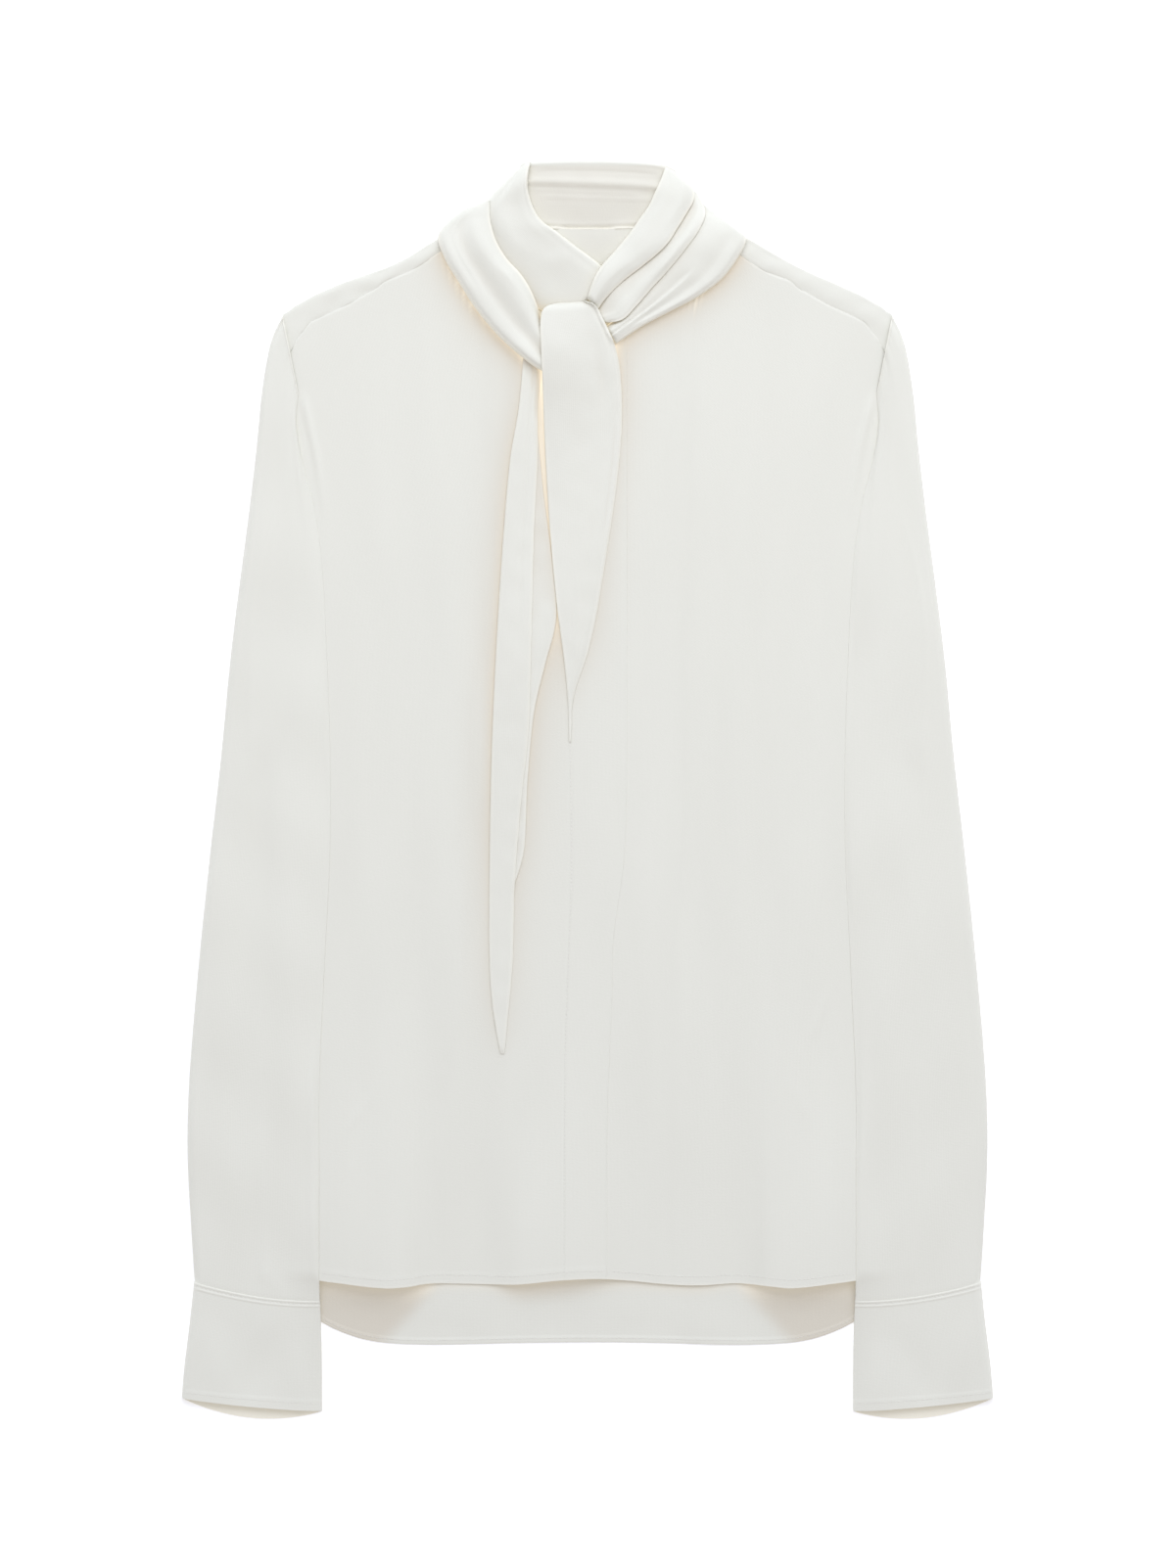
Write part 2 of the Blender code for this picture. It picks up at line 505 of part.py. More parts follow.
def arm(side, word):
    """A sleeve and its cuff: tubes flattened onto what lies below them, open at both ends."""
    sections = evenly(SLEEVE, SLEEVE_STATIONS, SLEEVE_EASE) + evenly(CUFF, CUFF_STATIONS)
    along_cuff = [0.0] * SLEEVE_STATIONS + [k / (CUFF_STATIONS - 1) for k in range(CUFF_STATIONS)]
    across = [(1 - math.cos(math.pi * k / ARM_HALF_ROUND)) / 2 for k in range(ARM_HALF_ROUND + 1)]

    def plan(number, share, drop):
        """The place at a share of the way across a section, with the cuff's bowed end."""
        outer_x, outer_y, inner_x, inner_y, _ = sections[number]
        bow = along_cuff[number] ** 3 * math.sin(math.pi * share) ** CUFF_BOW_POWER
        return outer_x + (inner_x - outer_x) * share, outer_y + (inner_y - outer_y) * share - drop * bow

    floors = []
    for number in range(len(sections)):
        row = [plan(number, share, CUFF_BACK_DROP) for share in across]
        floors.append([PILE.floor(side * x, y, ARM_REACH_ACROSS, ARM_REACH_ALONG) for x, y in row])
    lows = relaxed(floors, rounds=1)  # the lower layer
    highs = relaxed(floors, rounds=6)  # the upper layer lies smoother
    points = []
    for number, section in enumerate(sections):
        loft = section[-1]
        for k in range(2 * ARM_HALF_ROUND):
            column = min(k, 2 * ARM_HALF_ROUND - k)
            share = across[column]
            half_thick = loft / 2 * math.sqrt(1 - abs(2 * share - 1) ** ARM_EDGE_SQUARENESS)
            if k <= ARM_HALF_ROUND:
                x, y = plan(number, share, CUFF_FRONT_DROP)
                level = highs[number][column] + half_thick + folds_at(SLEEVE_FOLDS, x, y)
            else:
                x, y = plan(number, share, CUFF_BACK_DROP)
                level = lows[number][column] - half_thick
            points.append(Vector((side * x, y, level + (CLOTH + loft) / 2)))
    first_of_cuff = SLEEVE_STATIONS * 2 * ARM_HALF_ROUND
    for name, own_points, stations in (
        (f"sleeve_{word}", points[:first_of_cuff], SLEEVE_STATIONS),
        (f"cuff_{word}", points[first_of_cuff:], CUFF_STATIONS),
    ):
        faces = grid_faces(stations, 2 * ARM_HALF_ROUND, closed=True)
        cloth_wall(name, own_points, [face[::-1] for face in faces] if side > 0 else faces)


def bundle(row):
    """A stretch of folded cloth. It follows what lies below it and is rounded above."""
    sections = evenly(row.sections, row.stations)
    middles = [((s[0] + s[2]) / 2, (s[1] + s[3]) / 2) for s in sections]
    far = [sum(math.dist(a, b) for a, b in zip(middles[:k], middles[1:])) for k in range(row.stations)]
    across = [(1 - math.cos(math.pi * j / (row.columns - 1))) / 2 for j in range(row.columns)]
    plan = [
        [(s[0] + (s[2] - s[0]) * share, s[1] + (s[3] - s[1]) * share) for share in across]
        for s in sections
    ]
    floors = [[PILE.floor(x, y, row.reach, row.reach) for x, y in line] for line in plan]
    lows = relaxed(floors, rounds=2)
    highs = relaxed(floors, rounds=10)
    upper, lower = [], []
    for i, section in enumerate(sections):
        along = i / (row.stations - 1)
        from_end = min(far[i], far[-1] - far[i], BUNDLE_ROUND_ENDS)
        end_shape = math.sqrt(1 - (1 - from_end / BUNDLE_ROUND_ENDS) ** 2)
        for j, share in enumerate(across):
            inner = share < row.peak
            off = (row.peak - share) / row.peak if inner else (share - row.peak) / (1 - row.peak)
            crown = section[-1] * max(0.0, 1 - off * off) ** (0.5 if inner else row.fall)
            for crease in row.creases:
                middle = crease.start + (crease.end - crease.start) * along
                crown += crease.height * bump(share - middle, crease.spread)
            upper.append(Vector((*plan[i][j], highs[i][j] + row.layer + max(crown, 0.0) * end_shape)))
            lower.append(Vector((*plan[i][j], lows[i][j])))
    faces = grid_faces(row.stations, row.columns)
    if (upper[1] - upper[0]).cross(upper[row.columns] - upper[0]).z < 0:
        faces = [face[::-1] for face in faces]
    return close_sheet(row.name, upper, lower, faces)


def main():
    for old in list(bpy.data.objects):
        bpy.data.objects.remove(old)
    back_panel()
    front_panel("front_left", 1, lambda y: PLACKET_UNDERLAP_X)
    front_panel("front_right", -1, lambda y: value_at(PLACKET_EDGE, "y", "x", y))
    for side, word in ((-1, "right"), (1, "left")):
        arm(side, word)
    for row in BUNDLES:
        bundle(row)


main()
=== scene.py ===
"""Looks of a silk blouse with a knotted tie collar, laid flat and front side up.

Each solid of the frame is replaced by a thin shell of silk of the same form, with its hems, seams, soft
folds and stitches. The pieces are made in the order in which the blouse lies: back, fronts, sleeves,
collar, scarf and tie. Each one is laid on a raster of heights of those before it. Tables and sizes are
in millimetres, in the frame's own axes: +X is the wearer's left, +Y the collar, +Z up.
"""

import logging
import math
from collections.abc import Callable, Sequence
from dataclasses import dataclass
from enum import Enum
from typing import NamedTuple

import bpy
import numpy as np
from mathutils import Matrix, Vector


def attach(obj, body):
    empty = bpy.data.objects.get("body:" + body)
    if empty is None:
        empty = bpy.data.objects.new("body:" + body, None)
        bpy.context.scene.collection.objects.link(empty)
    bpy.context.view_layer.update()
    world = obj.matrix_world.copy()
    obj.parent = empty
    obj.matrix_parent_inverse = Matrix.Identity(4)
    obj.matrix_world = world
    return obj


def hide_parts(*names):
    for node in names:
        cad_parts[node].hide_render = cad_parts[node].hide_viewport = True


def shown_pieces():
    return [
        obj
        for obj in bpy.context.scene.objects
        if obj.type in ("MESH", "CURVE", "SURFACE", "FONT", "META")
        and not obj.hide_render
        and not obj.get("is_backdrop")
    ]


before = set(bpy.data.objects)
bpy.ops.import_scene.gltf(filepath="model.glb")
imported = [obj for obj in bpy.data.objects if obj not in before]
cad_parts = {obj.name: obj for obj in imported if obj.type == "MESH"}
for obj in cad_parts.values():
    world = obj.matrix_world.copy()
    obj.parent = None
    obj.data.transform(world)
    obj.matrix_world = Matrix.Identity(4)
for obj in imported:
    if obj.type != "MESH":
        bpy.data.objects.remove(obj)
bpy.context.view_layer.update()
log = logging.getLogger("blouse")

MM = 0.001
SILK = 0.3  # thickness of one layer
HALF_SILK = SILK / 2
DOUBLED = 0.7  # two layers, folded softly
GAP = 0.1  # between layers
BODY = "root"
PAINTED_SHADE_KEY = "painted_shade"  # painted shade: share of a warm darker colour mixed in at each point, from 0 to 1, by how far other layers shut out the sky
PAINTED_GLOW_KEY = "glow"  # painted glow: emission that stands in for light coming through the silk there
Curve = Callable[[np.ndarray], np.ndarray]


class Side(Enum):
    """The wearer's side, with the sign of its X."""

    RIGHT = -1
    LEFT = 1

    @property
    def word(self) -> str:
        """The side as the pieces' names have it."""
        return self.name.lower()


# ---------------------------------------------------------------- tables


class Edge(NamedTuple):
    """A point of an outline that is the same on both sides, from the centre front."""

    half_width: float
    y: float


class Hem(NamedTuple):
    """A point of the front hem and how far it stands off the back."""

    x: float
    y: float
    lift: float


class Across(NamedTuple):
    """A place on an upright line."""

    y: float
    x: float


class Fold(NamedTuple):
    """A soft ridge, or a trough where its height is under 0, that dies out at both ends."""

    top_x: float
    top_y: float
    low_x: float
    low_y: float
    height: float
    spread: float
    bow: float = 0.0  # how far its middle bends to +X
    start: float = 0.5  # under 0.5 it starts more sharply at the top than it ends


class Tube(NamedTuple):
    """A section of a sleeve or cuff. Outer is away from the body; loft parts the two layers."""

    outer_x: float
    outer_y: float
    inner_x: float
    inner_y: float
    loft: float


class Section(NamedTuple):
    """A section across a folded stretch of the scarf, from one edge to the other."""

    inner_x: float
    inner_y: float
    outer_x: float
    outer_y: float
    crown: float


class Crease(NamedTuple):
    """A crease along a folded stretch.

    start and end are its places, as shares of the way across, where it begins and finishes, which are
    shares of the way along. Its two flanks may differ, and a very narrow one makes one layer lap another.
    """

    start: float
    end: float
    height: float
    inner_flank: float
    outer_flank: float
    begins: float = 0.0
    finishes: float = 1.0


BODY_SIDE = (  # hem, side seam, underarm, armhole, shoulder point
    Edge(204.0, -300.0), Edge(205.0, -250.0), Edge(206.5, -150.0), Edge(208.0, -50.0),
    Edge(210.0, 40.0), Edge(211.0, 100.0), Edge(203.0, 145.0), Edge(190.5, 188.0),
    Edge(184.0, 224.0), Edge(182.0, 246.7), Edge(184.9, 265.0), Edge(186.6, 274.0),
    Edge(188.6, 285.0), Edge(189.6, 297.0),
)
SHOULDER_FOLD = (  # where the back turns over to the front
    Edge(72.0, 355.0), Edge(100.7, 341.3), Edge(119.3, 330.3), Edge(135.1, 323.0),
    Edge(153.7, 315.7), Edge(170.2, 308.4), Edge(182.7, 301.4), Edge(189.9, 296.2),
)
SHOULDER_SEAM = (  # on the front, below the fold
    Edge(72.0, 345.5), Edge(93.3, 334.6), Edge(110.4, 323.6), Edge(126.3, 317.5),
    Edge(131.5, 312.4), Edge(149.5, 302.5), Edge(172.6, 291.9), Edge(181.2, 281.0),
    Edge(186.6, 270.5),
)
BACK_HEM = (
    Edge(0.0, -343.7), Edge(43.0, -344.2), Edge(85.0, -345.2), Edge(112.9, -345.0),
    Edge(131.8, -343.4), Edge(148.0, -339.3), Edge(165.9, -331.0), Edge(186.0, -317.0),
    Edge(204.0, -302.0),
)
FRONT_HEM = (
    Hem(-204.0, -300.5, 1.0), Hem(-182.0, -303.0, 3.0), Hem(-160.0, -305.8, 6.5),
    Hem(-128.0, -309.2, 9.0), Hem(-112.0, -308.8, 7.0), Hem(-102.0, -307.4, 2.5),
    Hem(-93.0, -307.0, 0.6), Hem(-82.0, -307.2, 0.2), Hem(-60.0, -307.6, 1.0),
    Hem(-42.7, -307.3, 5.2), Hem(-17.0, -304.8, 6.0), Hem(6.0, -304.0, 4.2),
    Hem(24.0, -305.2, 1.5), Hem(50.0, -307.6, 1.2), Hem(70.0, -308.2, 1.5),
    Hem(92.0, -307.0, 0.7), Hem(102.0, -307.4, 2.5), Hem(112.0, -308.2, 7.0),
    Hem(128.0, -309.2, 9.0), Hem(160.0, -305.8, 6.5), Hem(182.0, -303.0, 3.0),
    Hem(204.0, -300.5, 1.0),
)
PLACKET_EDGE = (  # free edge of the upper front
    Across(-305.0, 11.8), Across(-203.0, 12.2), Across(-130.0, 15.0), Across(-93.0, 16.0),
    Across(-44.0, 22.6), Across(5.0, 24.2), Across(285.0, 24.4),
)
PLACKET_STITCHES = (  # the line that holds the placket's folded band
    Across(-305.0, -14.6), Across(-166.0, -14.0), Across(-130.0, -12.8), Across(-44.0, -10.0),
    Across(40.0, -11.0), Across(285.0, -11.0),
)
FRONT_FOLDS = (  # soft upright folds of the fronts, then short slanting wrinkles
    Fold(-139.0, 30.0, -121.0, -330.0, 1.5, 12.0), Fold(142.0, 30.0, 117.0, -330.0, 1.5, 12.0),
    Fold(-111.0, 60.0, -107.0, -180.0, -0.7, 9.0), Fold(114.0, 60.0, 110.0, -180.0, -0.6, 9.0),
    Fold(-82.0, -30.0, -88.0, -200.0, 1.0, 9.0), Fold(-91.0, -190.0, -91.0, -320.0, 0.8, 8.0),
    Fold(98.0, 280.0, 87.0, -190.0, 1.3, 10.0), Fold(-99.0, 300.0, -93.0, 60.0, 1.1, 12.0),
    Fold(40.0, 260.0, 61.0, 20.0, -0.8, 12.0), Fold(61.0, 80.0, 66.0, -180.0, -1.1, 9.0),
    Fold(34.0, -10.0, 41.0, -220.0, 0.8, 8.0), Fold(-135.0, 250.0, -123.0, 70.0, 0.7, 9.0),
    Fold(-70.0, 180.0, -73.0, 60.0, -0.6, 8.0), Fold(-67.0, 90.0, -67.0, -30.0, 0.6, 7.0),
    Fold(-27.0, -150.0, -30.0, -325.0, -1.1, 9.0), Fold(-56.0, -200.0, -54.0, -310.0, 0.6, 7.0),
    Fold(-67.0, -210.0, -67.0, -310.0, -0.6, 6.0), Fold(56.0, -210.0, 56.0, -320.0, -0.8, 11.0),
    Fold(-178.6, 250.0, -163.5, 165.0, 1.2, 2.1, 2.0, 0.2),
    Fold(178.6, 250.0, 163.5, 165.0, 1.0, 2.3, -2.0, 0.2),
    Fold(-131.0, -183.0, -151.0, -216.0, 0.5, 2.2), Fold(-137.0, -182.0, -141.0, -208.0, -0.3, 2.0),
    Fold(126.0, -178.0, 140.0, -212.0, 0.45, 2.2), Fold(150.0, -120.0, 139.0, -160.0, 0.3, 2.4),
)
SLEEVE = (
    Tube(189.6, 295.6, 180.0, 247.3, 1.0), Tube(197.2, 278.5, 181.2, 228.0, 2.0),
    Tube(202.6, 248.0, 177.6, 205.0, 2.6), Tube(206.2, 212.0, 170.8, 178.0, 3.0),
    Tube(211.0, 171.0, 166.2, 148.0, 3.0), Tube(216.4, 130.0, 163.8, 115.0, 3.0),
    Tube(222.4, 81.0, 161.8, 72.0, 3.0), Tube(228.2, 20.0, 160.2, 16.0, 3.0),
    Tube(235.0, -40.0, 160.6, -43.0, 3.0), Tube(242.2, -110.0, 164.0, -114.0, 3.2),
    Tube(247.8, -178.0, 167.0, -184.0, 3.2), Tube(249.0, -226.0, 166.9, -234.0, 3.2),
    Tube(246.6, -275.0, 166.8, -285.0, 3.0), Tube(244.6, -305.6, 166.8, -317.4, 2.8),
)
CUFF = (
    Tube(244.9, -305.9, 166.6, -317.7, 2.8), Tube(247.7, -332.0, 165.8, -341.0, 3.0),
    Tube(251.0, -359.0, 165.5, -364.0, 3.4), Tube(252.6, -378.4, 165.5, -386.6, 3.8),
)
SLEEVE_FOLDS = (  # on the upper layer of each sleeve, with x away from the body
    Fold(182.5, 244.0, 175.0, 160.0, 1.0, 2.0, 0.8, 0.25), Fold(196.0, 262.0, 218.0, 60.0, 1.0, 9.0),
    Fold(203.0, 34.0, 209.0, -150.0, -1.2, 8.0, 0.0, 0.2), Fold(190.0, 40.0, 184.0, -260.0, 1.3, 11.0),
    Fold(228.0, 10.0, 230.0, -190.0, 0.9, 9.0), Fold(196.0, -170.0, 203.0, -300.0, -0.6, 9.0),
    Fold(222.0, -210.0, 217.0, -318.0, 0.7, 10.0), Fold(172.0, -120.0, 170.0, -320.0, 0.7, 3.5),
)
CUFF_FOLDS = (
    Fold(196.0, -330.0, 214.0, -392.0, -0.8, 11.0), Fold(182.0, -340.0, 176.0, -400.0, 0.7, 8.0),
    Fold(238.0, -322.0, 230.0, -380.0, 0.6, 9.0),
)


class Rim(NamedTuple):
    """How an edge of folded cloth is formed."""

    roll: float  # how far in from the edge its upper side becomes level
    level: float  # height of the fold itself, as a share of the height there
    recess: float  # how far in from the edge its under side touches down
    slope: float  # 1 for a round shoulder, 2 for one that starts as a slope


PRESSED = Rim(0.8, 0.35, 0.3, 1.0)
THIN = Rim(5.0, 0.22, 0.3, 1.6)
EASED = Rim(7.0, 0.1, 0.3, 1.5)
SEAMED = Rim(4.0, 0.08, 0.3, 1.2)
CREASED = Rim(5.0, 0.16, 0.4, 1.3)
SOFT = Rim(2.0, 0.4, 0.3, 1.0)
FLUSH = Rim(15.0, 0.04, 0.2, 2.0)
ROLLED = Rim(2.4, 0.36, 0.5, 1.0)
CRISP = Rim(1.2, 0.3, 0.2, 1.0)
LIFTED = Rim(1.2, 0.45, 0.8, 1.0)


class Wrap(NamedTuple):
    """How one stretch of folded cloth is laid: its node, sections, layers and creases."""

    node: str
    sections: tuple[Section, ...]
    creases: tuple[Crease, ...]
    peak: float  # share of the way across at which it is thickest
    fall: float  # 0.5 rounds it off to the outer edge, 1 slopes it down
    inner: tuple[Rim, Rim]  # its inner edge where it begins, and where it finishes
    outer: tuple[Rim, Rim]
    ends: tuple[float, float]  # over how much it rises at its two ends
    reach: float  # how far away it feels the layers below it
    drape: tuple[float, float]  # over how much it smooths them, along and across
    rests_on: tuple[str, ...]


COLLAR_BACK = Wrap(
    "collar_back",
    (
        Section(-58.0, 352.6, -41.0, 390.6, 0.0), Section(-38.0, 350.6, -30.0, 392.4, 3.2),
        Section(-14.0, 349.2, -8.0, 393.2, 4.0), Section(12.0, 349.2, 18.0, 393.0, 4.0),
        Section(38.0, 350.6, 42.0, 391.2, 3.2), Section(62.0, 353.2, 54.5, 386.5, 0.0),
    ),
    (
        Crease(0.69, 0.61, 1.2, 0.06, 0.07), Crease(0.965, 0.965, 0.5, 0.04, 0.05),
        Crease(0.57, 0.48, 0.2, 0.02, 0.03, 0.0, 0.8), Crease(0.47, 0.40, 0.2, 0.02, 0.05, 0.15, 1.0),
        Crease(0.84, 0.80, -0.25, 0.03, 0.03, 0.1, 0.9), Crease(0.05, 0.05, 0.2, 0.05, 0.04),
    ),
    0.93, 1.0, (SEAMED, SEAMED), (PRESSED, PRESSED), (1.0, 1.0), 0.0, (3.0, 3.0), ("silk_back",),
)
TIE_UNDER_FOLD = Wrap(
    "tie_under_fold",
    (
        Section(-42.0, 232.0, -31.5, 230.0, 0.0), Section(-44.0, 190.0, -27.5, 187.0, 0.4),
        Section(-46.0, 150.0, -22.6, 150.0, 0.9), Section(-48.0, 118.0, -19.2, 118.0, 1.4),
        Section(-49.0, 98.0, -20.5, 100.0, 1.6), Section(-50.0, 75.0, -26.5, 78.0, 1.4),
        Section(-50.0, 48.0, -33.5, 47.0, 0.8), Section(-50.0, 5.0, -37.4, 5.0, 0.4),
        Section(-50.0, -36.0, -39.4, -36.0, 0.1), Section(-49.0, -58.0, -45.0, -57.0, 0.0),
    ),
    (), 0.6, 0.3, (THIN, THIN), (PRESSED, PRESSED), (1.0, 1.0), 0.5, (6.0, 4.0), ("silk_front_right",),
)
TIE_UNDER = Wrap(
    "tie_under",
    (
        Section(-39.5, 278.0, -27.0, 276.0, 0.6), Section(-42.5, 240.0, -30.6, 240.0, 0.9),
        Section(-48.0, 207.0, -31.0, 207.0, 1.0), Section(-52.0, 163.0, -33.2, 164.0, 1.0),
        Section(-56.0, 102.0, -34.8, 103.0, 0.9), Section(-59.0, 41.0, -36.6, 41.0, 0.9),
        Section(-60.4, -10.0, -41.6, -9.0, 0.9), Section(-61.1, -60.0, -45.4, -60.0, 0.8),
        Section(-61.0, -105.0, -46.6, -106.0, 0.7), Section(-58.9, -136.0, -49.2, -137.0, 0.5),
        Section(-54.2, -164.0, -51.8, -164.0, 0.4),
    ),
    (Crease(0.62, 0.72, -0.4, 0.10, 0.05, 0.0, 0.45), Crease(0.93, 0.94, 0.35, 0.04, 0.03, 0.2, 1.0)),
    0.25, 1.0, (CRISP, CRISP), (THIN, THIN), (1.5, 1.5), 0.5, (20.0, 8.0),
    ("silk_front_right", "silk_tie_under_fold"),
)
COLLAR_RIGHT = Wrap(
    "collar_right",
    (
        Section(-35.4, 391.0, -40.6, 388.8, 0.5), Section(-37.0, 384.0, -48.2, 382.0, 3.0),
        Section(-37.2, 374.0, -59.5, 371.0, 4.5), Section(-34.0, 363.0, -68.5, 360.5, 5.0),
        Section(-28.5, 354.5, -69.0, 345.0, 5.0), Section(-18.5, 347.0, -59.0, 328.0, 5.0),
        Section(-6.0, 337.5, -47.0, 314.0, 4.8), Section(8.5, 326.7, -34.0, 302.0, 4.5),
        Section(18.0, 316.0, -16.0, 293.0, 4.0),
    ),
    (
        Crease(0.05, 0.035, 0.8, 0.03, 0.05, 0.0, 0.95), Crease(0.30, 0.22, -0.9, 0.14, 0.22, 0.15, 0.72),
        Crease(0.52, 0.62, 0.4, 0.10, 0.12, 0.05, 0.6), Crease(0.66, 0.84, -0.5, 0.06, 0.08, 0.04, 0.5),
    ),
    0.25, 0.7, (ROLLED, ROLLED), (PRESSED, PRESSED), (2.5, 2.5), 2.0, (10.0, 8.0),
    ("silk_collar_back", "silk_front_right"),
)
SCARF_RIGHT = Wrap(
    "scarf_right",
    (
        Section(-60.5, 367.0, -66.5, 365.5, 0.2), Section(-61.0, 362.5, -79.5, 360.0, 1.6),
        Section(-60.3, 353.0, -92.5, 346.5, 4.0), Section(-56.7, 341.3, -89.0, 331.5, 6.0),
        Section(-50.0, 330.3, -79.3, 315.0, 7.0), Section(-42.0, 321.5, -69.5, 299.8, 7.5),
        Section(-36.0, 312.5, -57.0, 284.5, 7.5), Section(-31.5, 302.0, -43.0, 271.5, 7.0),
        Section(-27.0, 290.0, -28.0, 261.0, 6.5), Section(-14.0, 284.0, -12.0, 259.0, 6.0),
    ),
    (
        Crease(0.56, 0.62, -2.0, 0.20, 0.15, 0.06, 1.0), Crease(0.90, 0.90, 0.5, 0.09, 0.05, 0.1, 0.95),
        Crease(0.16, 0.20, 0.3, 0.07, 0.06, 0.2, 0.6), Crease(0.74, 0.78, -0.3, 0.03, 0.05, 0.05, 0.5),
    ),
    0.40, 0.22, (FLUSH, ROLLED), (ROLLED, LIFTED), (14.0, 4.0), 2.0, (10.0, 8.0),
    ("silk_collar_right", "silk_front_right"),
)
SCARF_LEFT = Wrap(
    "scarf_left",
    (
        Section(69.0, 368.0, 74.0, 363.8, 0.2), Section(69.5, 363.5, 81.2, 358.4, 1.0),
        Section(67.5, 359.0, 87.0, 354.0, 2.4), Section(64.5, 354.0, 93.2, 349.3, 3.6),
        Section(59.0, 348.0, 98.6, 343.3, 4.6), Section(50.0, 338.5, 94.0, 332.5, 5.4),
        Section(40.0, 326.5, 83.5, 318.5, 5.4), Section(32.5, 316.0, 68.0, 307.0, 5.2),
        Section(26.0, 305.0, 51.0, 298.0, 5.0), Section(20.0, 296.0, 34.0, 289.0, 4.6),
        Section(10.0, 288.0, 17.0, 277.5, 4.0),
    ),
    (
        Crease(0.50, 0.52, -0.6, 0.10, 0.03, 0.4, 1.0), Crease(0.56, 0.58, 0.4, 0.02, 0.12, 0.4, 1.0),
        Crease(0.74, 0.72, -0.9, 0.14, 0.10, 0.1, 0.9), Crease(0.92, 0.90, 0.35, 0.06, 0.04, 0.05, 0.8),
    ),
    0.42, 0.2, (EASED, THIN), (ROLLED, LIFTED), (10.0, 4.0), 2.0, (10.0, 8.0), ("silk_front_left",),
)
SCARF_LEFT_FOLD = Wrap(
    "scarf_left_fold",
    (
        Section(61.5, 376.0, 68.0, 372.5, 0.2), Section(59.0, 366.0, 73.2, 360.5, 0.8),
        Section(52.0, 354.0, 70.0, 350.0, 1.6), Section(45.0, 344.0, 61.5, 337.5, 2.2),
        Section(36.0, 335.0, 50.5, 324.0, 2.4), Section(25.0, 327.0, 39.5, 312.0, 2.4),
        Section(14.0, 317.5, 30.0, 301.0, 2.4), Section(7.0, 308.0, 21.0, 292.5, 2.2),
        Section(3.0, 301.0, 8.0, 291.0, 2.0),
    ),
    (
        Crease(0.55, 0.48, -0.5, 0.14, 0.10, 0.05, 0.42), Crease(0.80, 0.72, 0.3, 0.10, 0.08, 0.4, 1.0),
    ),
    0.6, 0.35, (EASED, EASED), (CREASED, SOFT), (8.0, 2.0), 1.0, (10.0, 6.0), ("silk_scarf_left",),
)
COLLAR_LEFT = Wrap(
    "collar_left",
    (
        Section(48.5, 388.0, 53.5, 385.8, 0.5), Section(46.0, 381.0, 64.8, 376.8, 2.4),
        Section(42.5, 373.0, 66.0, 368.0, 3.8), Section(38.0, 363.5, 61.5, 359.0, 4.2),
        Section(33.0, 356.5, 55.5, 349.0, 4.2), Section(26.5, 347.0, 48.0, 338.0, 4.2),
        Section(18.0, 336.7, 36.0, 327.5, 4.0), Section(9.5, 327.0, 23.5, 318.0, 4.0),
        Section(3.8, 317.5, 13.0, 308.0, 3.6), Section(0.0, 306.0, 6.0, 299.0, 3.0),
    ),
    (
        Crease(0.08, 0.09, 0.4, 0.05, 0.05, 0.1, 1.0), Crease(0.78, 0.70, -0.4, 0.14, 0.14, 0.3, 0.9),
        Crease(0.30, 0.34, 0.2, 0.10, 0.10, 0.0, 0.6),
    ),
    0.4, 0.4, (SOFT, ROLLED), (EASED, EASED), (2.5, 2.5), 1.5, (10.0, 6.0),
    ("silk_collar_right", "silk_scarf_left_fold"),
)
TIE_FRONT = Wrap(
    "tie_front",
    (
        Section(-19.0, 303.2, -1.0, 304.2, 0.4), Section(-26.8, 300.2, 4.8, 301.8, 1.2),
        Section(-29.2, 292.0, 9.0, 294.5, 1.6), Section(-28.8, 275.0, 17.5, 275.0, 1.6),
        Section(-28.0, 256.0, 20.7, 256.0, 1.5), Section(-26.8, 222.0, 21.3, 226.0, 1.2),
        Section(-24.8, 183.0, 17.8, 188.0, 1.0), Section(-21.6, 142.0, 11.6, 146.0, 0.9),
        Section(-18.0, 107.0, 5.4, 108.0, 0.8), Section(-14.9, 84.0, -0.2, 84.5, 0.7),
        Section(-12.9, 65.6, -6.6, 66.0, 0.5), Section(-11.9, 52.0, -9.6, 52.0, 0.2),
        Section(-11.6, 40.0, -9.9, 40.0, 0.0), Section(-11.4, 30.0, -10.2, 30.0, 0.0),
    ),
    (
        Crease(0.975, 0.95, 0.7, 0.02, 0.03, 0.0, 0.85), Crease(0.93, 0.86, -0.4, 0.02, 0.02, 0.0, 0.6),
        Crease(0.74, 0.86, -0.7, 0.10, 0.06, 0.05, 0.28), Crease(0.5, 0.5, 0.25, 0.12, 0.12, 0.3, 0.9),
    ),
    0.3, 0.8, (CRISP, CRISP), (THIN, THIN), (5.0, 1.0), 1.0, (30.0, 12.0),
    ("silk_tie_under", "silk_scarf_right", "silk_front_right"),
)
WRAPS = (
    COLLAR_BACK, TIE_UNDER_FOLD, TIE_UNDER, COLLAR_RIGHT, SCARF_RIGHT,
    SCARF_LEFT, SCARF_LEFT_FOLD, COLLAR_LEFT, TIE_FRONT,
)


# ---------------------------------------------------------------- curves and heights


def smooth_rows(table: np.ndarray, per_row: int = 40) -> np.ndarray:
    """Rows on a smooth curve through a table's rows.

    Args:
        table: one row for each point.
        per_row: how many rows come out for each one that goes in.

    Returns:
        The dense rows, of which the last is the table's last.
    """
    rows = np.vstack([table[:1], table, table[-1:]])
    t = np.linspace(0, 1, per_row, endpoint=False)[:, None]
    spans = [
        0.5 * (2 * b + (c - a) * t + (2 * a - 5 * b + 4 * c - d) * t**2 + (3 * b - a - 3 * c + d) * t**3)
        for a, b, c, d in zip(rows, rows[1:], rows[2:], rows[3:])
    ]
    return np.vstack([*spans, table[-1:]])


